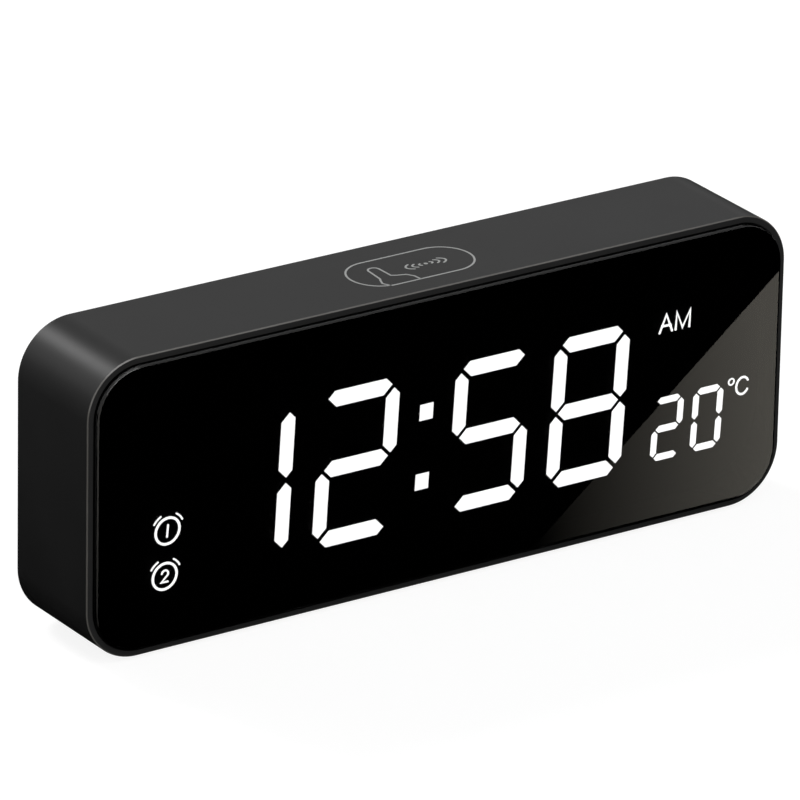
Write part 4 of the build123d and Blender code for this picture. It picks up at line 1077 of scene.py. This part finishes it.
@dataclass(frozen=True)
class Card:
    """A card that only mirror-like surfaces see, brighter towards one side."""

    name: str
    outline: tuple[Point2, ...]
    along: Point2
    span: Point2
    colour: Colour
    strength: float
    power: float = 1.0
    height: float = 0.3
    through_glass: bool = False

    def corners(self) -> list[tuple[float, float, float]]:
        """Corners of the card, lying just above the floor."""
        return [(x * MM, y * MM, self.height * MM) for x, y in self.outline]

    def put(self) -> None:
        """Adds the card to the stage."""
        mesh = bpy.data.meshes.new(self.name)
        mesh.from_pydata(self.corners(), [], [range(len(self.corners()))])
        graph = Graph(self.name)
        place = graph.add("ShaderNodeTexCoord")
        dot = graph.add("ShaderNodeVectorMath", operation="DOT_PRODUCT")
        dot.inputs[1].default_value = (*self.along, 0.0)
        graph.join(place.outputs["Object"], dot.inputs[0])
        ramp = graph.scale(dot.outputs["Value"], 0.0, 1.0, (self.span[0] * MM, self.span[1] * MM))
        curve = graph.add("ShaderNodeMath", operation="POWER")
        curve.inputs[1].default_value = self.power
        graph.join(ramp, curve.inputs[0])
        level = graph.scale(curve.outputs[0], 0.0, self.strength, (0.0, 1.0))
        glow = graph.add("ShaderNodeEmission")
        glow.inputs["Color"].default_value = (*self.colour, 1.0)
        graph.join(level, glow.inputs["Strength"])
        graph.join(glow.outputs[0], graph.output.inputs["Surface"])
        mesh.materials.append(graph.material)
        card = bpy.data.objects.new(self.name, mesh)
        card.visible_camera = False
        card.visible_diffuse = False
        card.visible_transmission = self.through_glass
        card.visible_shadow = False
        bpy.context.scene.collection.objects.link(card)


@dataclass(frozen=True)
class Flag(Card):
    """A card that stands upright on the line between its first two points."""

    def corners(self) -> list[tuple[float, float, float]]:
        """Finds the corners of the card, standing on the floor.

        Returns:
            Four corners, in metres.
        """
        (x0, y0), (x1, y1) = self.outline
        line = ((x0, y0, 0.0), (x1, y1, 0.0), (x1, y1, self.height), (x0, y0, self.height))
        return [(x * MM, y * MM, z * MM) for x, y, z in line]


@dataclass(frozen=True)
class PhotoCamera:
    """Camera at the photograph's viewing angle."""

    eye: tuple[float, float, float] = (-0.90862, -1.338955, 0.70774)
    azimuth: float = -34.1074
    elevation: float = 22.6078
    roll: float = 1.1133
    focal: float = 410.44

    def place(self) -> None:
        """Adds the camera and makes it the scene's own."""
        turn, lift, tilt = radians(self.azimuth), radians(self.elevation), radians(self.roll)
        back = Vector((sin(turn) * cos(lift), -cos(turn) * cos(lift), sin(lift)))
        level = Vector((cos(turn), sin(turn), 0.0))
        upright = back.cross(level)
        right = cos(tilt) * level + sin(tilt) * upright
        up = cos(tilt) * upright - sin(tilt) * level
        lens = bpy.data.cameras.new("photo_camera")
        lens.lens = self.focal
        camera = bpy.data.objects.new("photo_camera", lens)
        camera.matrix_world = Matrix.Translation(self.eye) @ Matrix((right, up, back)).transposed().to_4x4()
        bpy.context.scene.collection.objects.link(camera)
        bpy.context.scene.camera = camera


@dataclass
class Studio:
    """Pale floor, soft lamps, cards for reflections and the camera."""

    floor_reach: float = 4.0
    floor_colour: Colour = (0.5, 0.5, 0.5)
    floor_glow: float = 0.88
    floor_shade: float = 0.2
    world_level: float = 0.21
    camera: PhotoCamera = PhotoCamera()
    lamps: tuple[Softbox, ...] = (
        Softbox("key_softbox", (-0.05, -0.9, 1.1), (1.2, 0.7), 2.5),
        Softbox("fill_softbox", (0.25, -1.5, 0.35), (0.9, 0.6), 5.5),
        Softbox("edge_softbox", (-0.32, 1.18, 0.98), (0.36, 0.5), 33.0),
        Softbox("tail_softbox", (-0.72, 1.2, 0.55), (0.5, 0.5), 4.5),
        Softbox("back_softbox", (0.9, 1.3, 0.75), (0.9, 0.6), 0.2),
    )
    cards: tuple[Card, ...] = (
        Card("dark_card", ((-700.0, -700.0), (700.0, -700.0), (700.0, 700.0), (-700.0, 700.0)),
             (0.0, 1.0), (-700.0, 700.0), (1.0, 1.0, 1.0), 0.004, height=0.2, through_glass=True),
        Card("glare_card", ((24.8, -18.2), (82.5, -18.2), (151.5, -111.4)), (1.0, 0.678),
             (12.0, 70.0), (1.0, 0.95, 0.83), 1.95, 1.35),
        Card("left_card", ((-500.0, -10.0), (-84.0, -10.0), (-84.0, 400.0), (-500.0, 400.0)),
             (-1.0, 0.0), (100.0, 190.0), (1.0, 1.0, 1.0), 0.4),
        Card("edge_card", ((-84.0, -18.0), (-500.0, -367.0), (-500.0, -650.0), (255.0, -650.0)),
             (-0.5, -0.866), (30.0, 120.0), (1.0, 0.97, 0.92), 1.2),
        Flag("back_flag", ((100.0, 1000.0), (1000.0, 450.0)), (-0.85, 0.52), (-700.0, 500.0),
             (1.0, 1.0, 1.0), 0.35, height=170.0),
        Flag("right_flag", ((1000.0, 450.0), (900.0, -500.0)), (0.0, 1.0), (0.0, 500.0),
             (1.0, 1.0, 1.0), 0.03, height=1200.0),
    )

    def seen(self, tree: bpy.types.NodeTree) -> bpy.types.NodeSocket:
        """Marks the rays that show the white background: straight, mirrored and through glass.

        Args:
            tree: Node tree of the floor or the world.

        Returns:
            Socket that is 1 on those rays and 0 on all others.
        """
        path = tree.nodes.new("ShaderNodeLightPath")
        mark = path.outputs["Is Camera Ray"]
        for kind in ("Is Glossy Ray", "Is Transmission Ray"):
            both = tree.nodes.new("ShaderNodeMath")
            both.operation = "MAXIMUM"
            tree.links.new(mark, both.inputs[0])
            tree.links.new(path.outputs[kind], both.inputs[1])
            mark = both.outputs[0]
        return mark

    def world(self) -> None:
        """Sets a soft even sky that shows as white."""
        world = bpy.data.worlds.new("studio_sky")
        world.use_nodes = True
        bpy.context.scene.world = world
        nodes, links = world.node_tree.nodes, world.node_tree.links
        sky = nodes["Background"]
        sky.inputs["Strength"].default_value = self.world_level
        sky.inputs["Color"].default_value = (1.0, 1.0, 1.0, 1.0)
        white = nodes.new("ShaderNodeBackground")
        white.inputs["Color"].default_value = (1.0, 1.0, 1.0, 1.0)
        mix = nodes.new("ShaderNodeMixShader")
        links.new(self.seen(world.node_tree), mix.inputs[0])
        links.new(sky.outputs[0], mix.inputs[1])
        links.new(white.outputs[0], mix.inputs[2])
        links.new(mix.outputs[0], nodes["World Output"].inputs["Surface"])

    def floor(self) -> None:
        """Lays a pale floor that shows as white and keeps a faint shadow."""
        reach = self.floor_reach
        mesh = bpy.data.meshes.new("floor")
        corners = [(-reach, -reach, 0.0), (reach, -reach, 0.0), (reach, reach, 0.0), (-reach, reach, 0.0)]
        mesh.from_pydata(corners, [], [(0, 1, 2, 3)])
        graph = Graph("pale_floor")
        matt = graph.add("ShaderNodeBsdfDiffuse")
        matt.inputs["Color"].default_value = (*self.floor_colour, 1.0)
        shadow = graph.add("ShaderNodeBsdfDiffuse")
        shadow.inputs["Color"].default_value = (self.floor_shade, self.floor_shade, self.floor_shade, 1.0)
        glow = graph.add("ShaderNodeEmission")
        glow.inputs["Strength"].default_value = self.floor_glow
        white = graph.add("ShaderNodeAddShader")
        graph.join(shadow.outputs[0], white.inputs[0])
        graph.join(glow.outputs[0], white.inputs[1])
        whole = graph.add("ShaderNodeMixShader")
        graph.join(self.seen(graph.material.node_tree), whole.inputs[0])
        graph.join(matt.outputs[0], whole.inputs[1])
        graph.join(white.outputs[0], whole.inputs[2])
        graph.join(whole.outputs[0], graph.output.inputs["Surface"])
        mesh.materials.append(graph.material)
        floor = bpy.data.objects.new("floor", mesh)
        bpy.context.scene.collection.objects.link(floor)

    def build(self) -> None:
        """Sets the stage."""
        self.floor()
        self.world()
        for card in self.cards:
            card.put()
        for lamp in self.lamps:
            lamp.hang()
        self.camera.place()
        bpy.context.scene.view_settings.view_transform = "Standard"


def main() -> None:
    """Builds the clock's looks and its stage, in order."""
    logging.basicConfig(level=logging.INFO, format="%(name)s: %(message)s")
    for part in (Housing(), Display(), TouchPrint(), RearControls(), BatteryBay(), Electronics()):
        LOG.info("building %s", type(part).__name__)
        part.build()
    Studio().build()


if __name__ == "__main__":
    main()
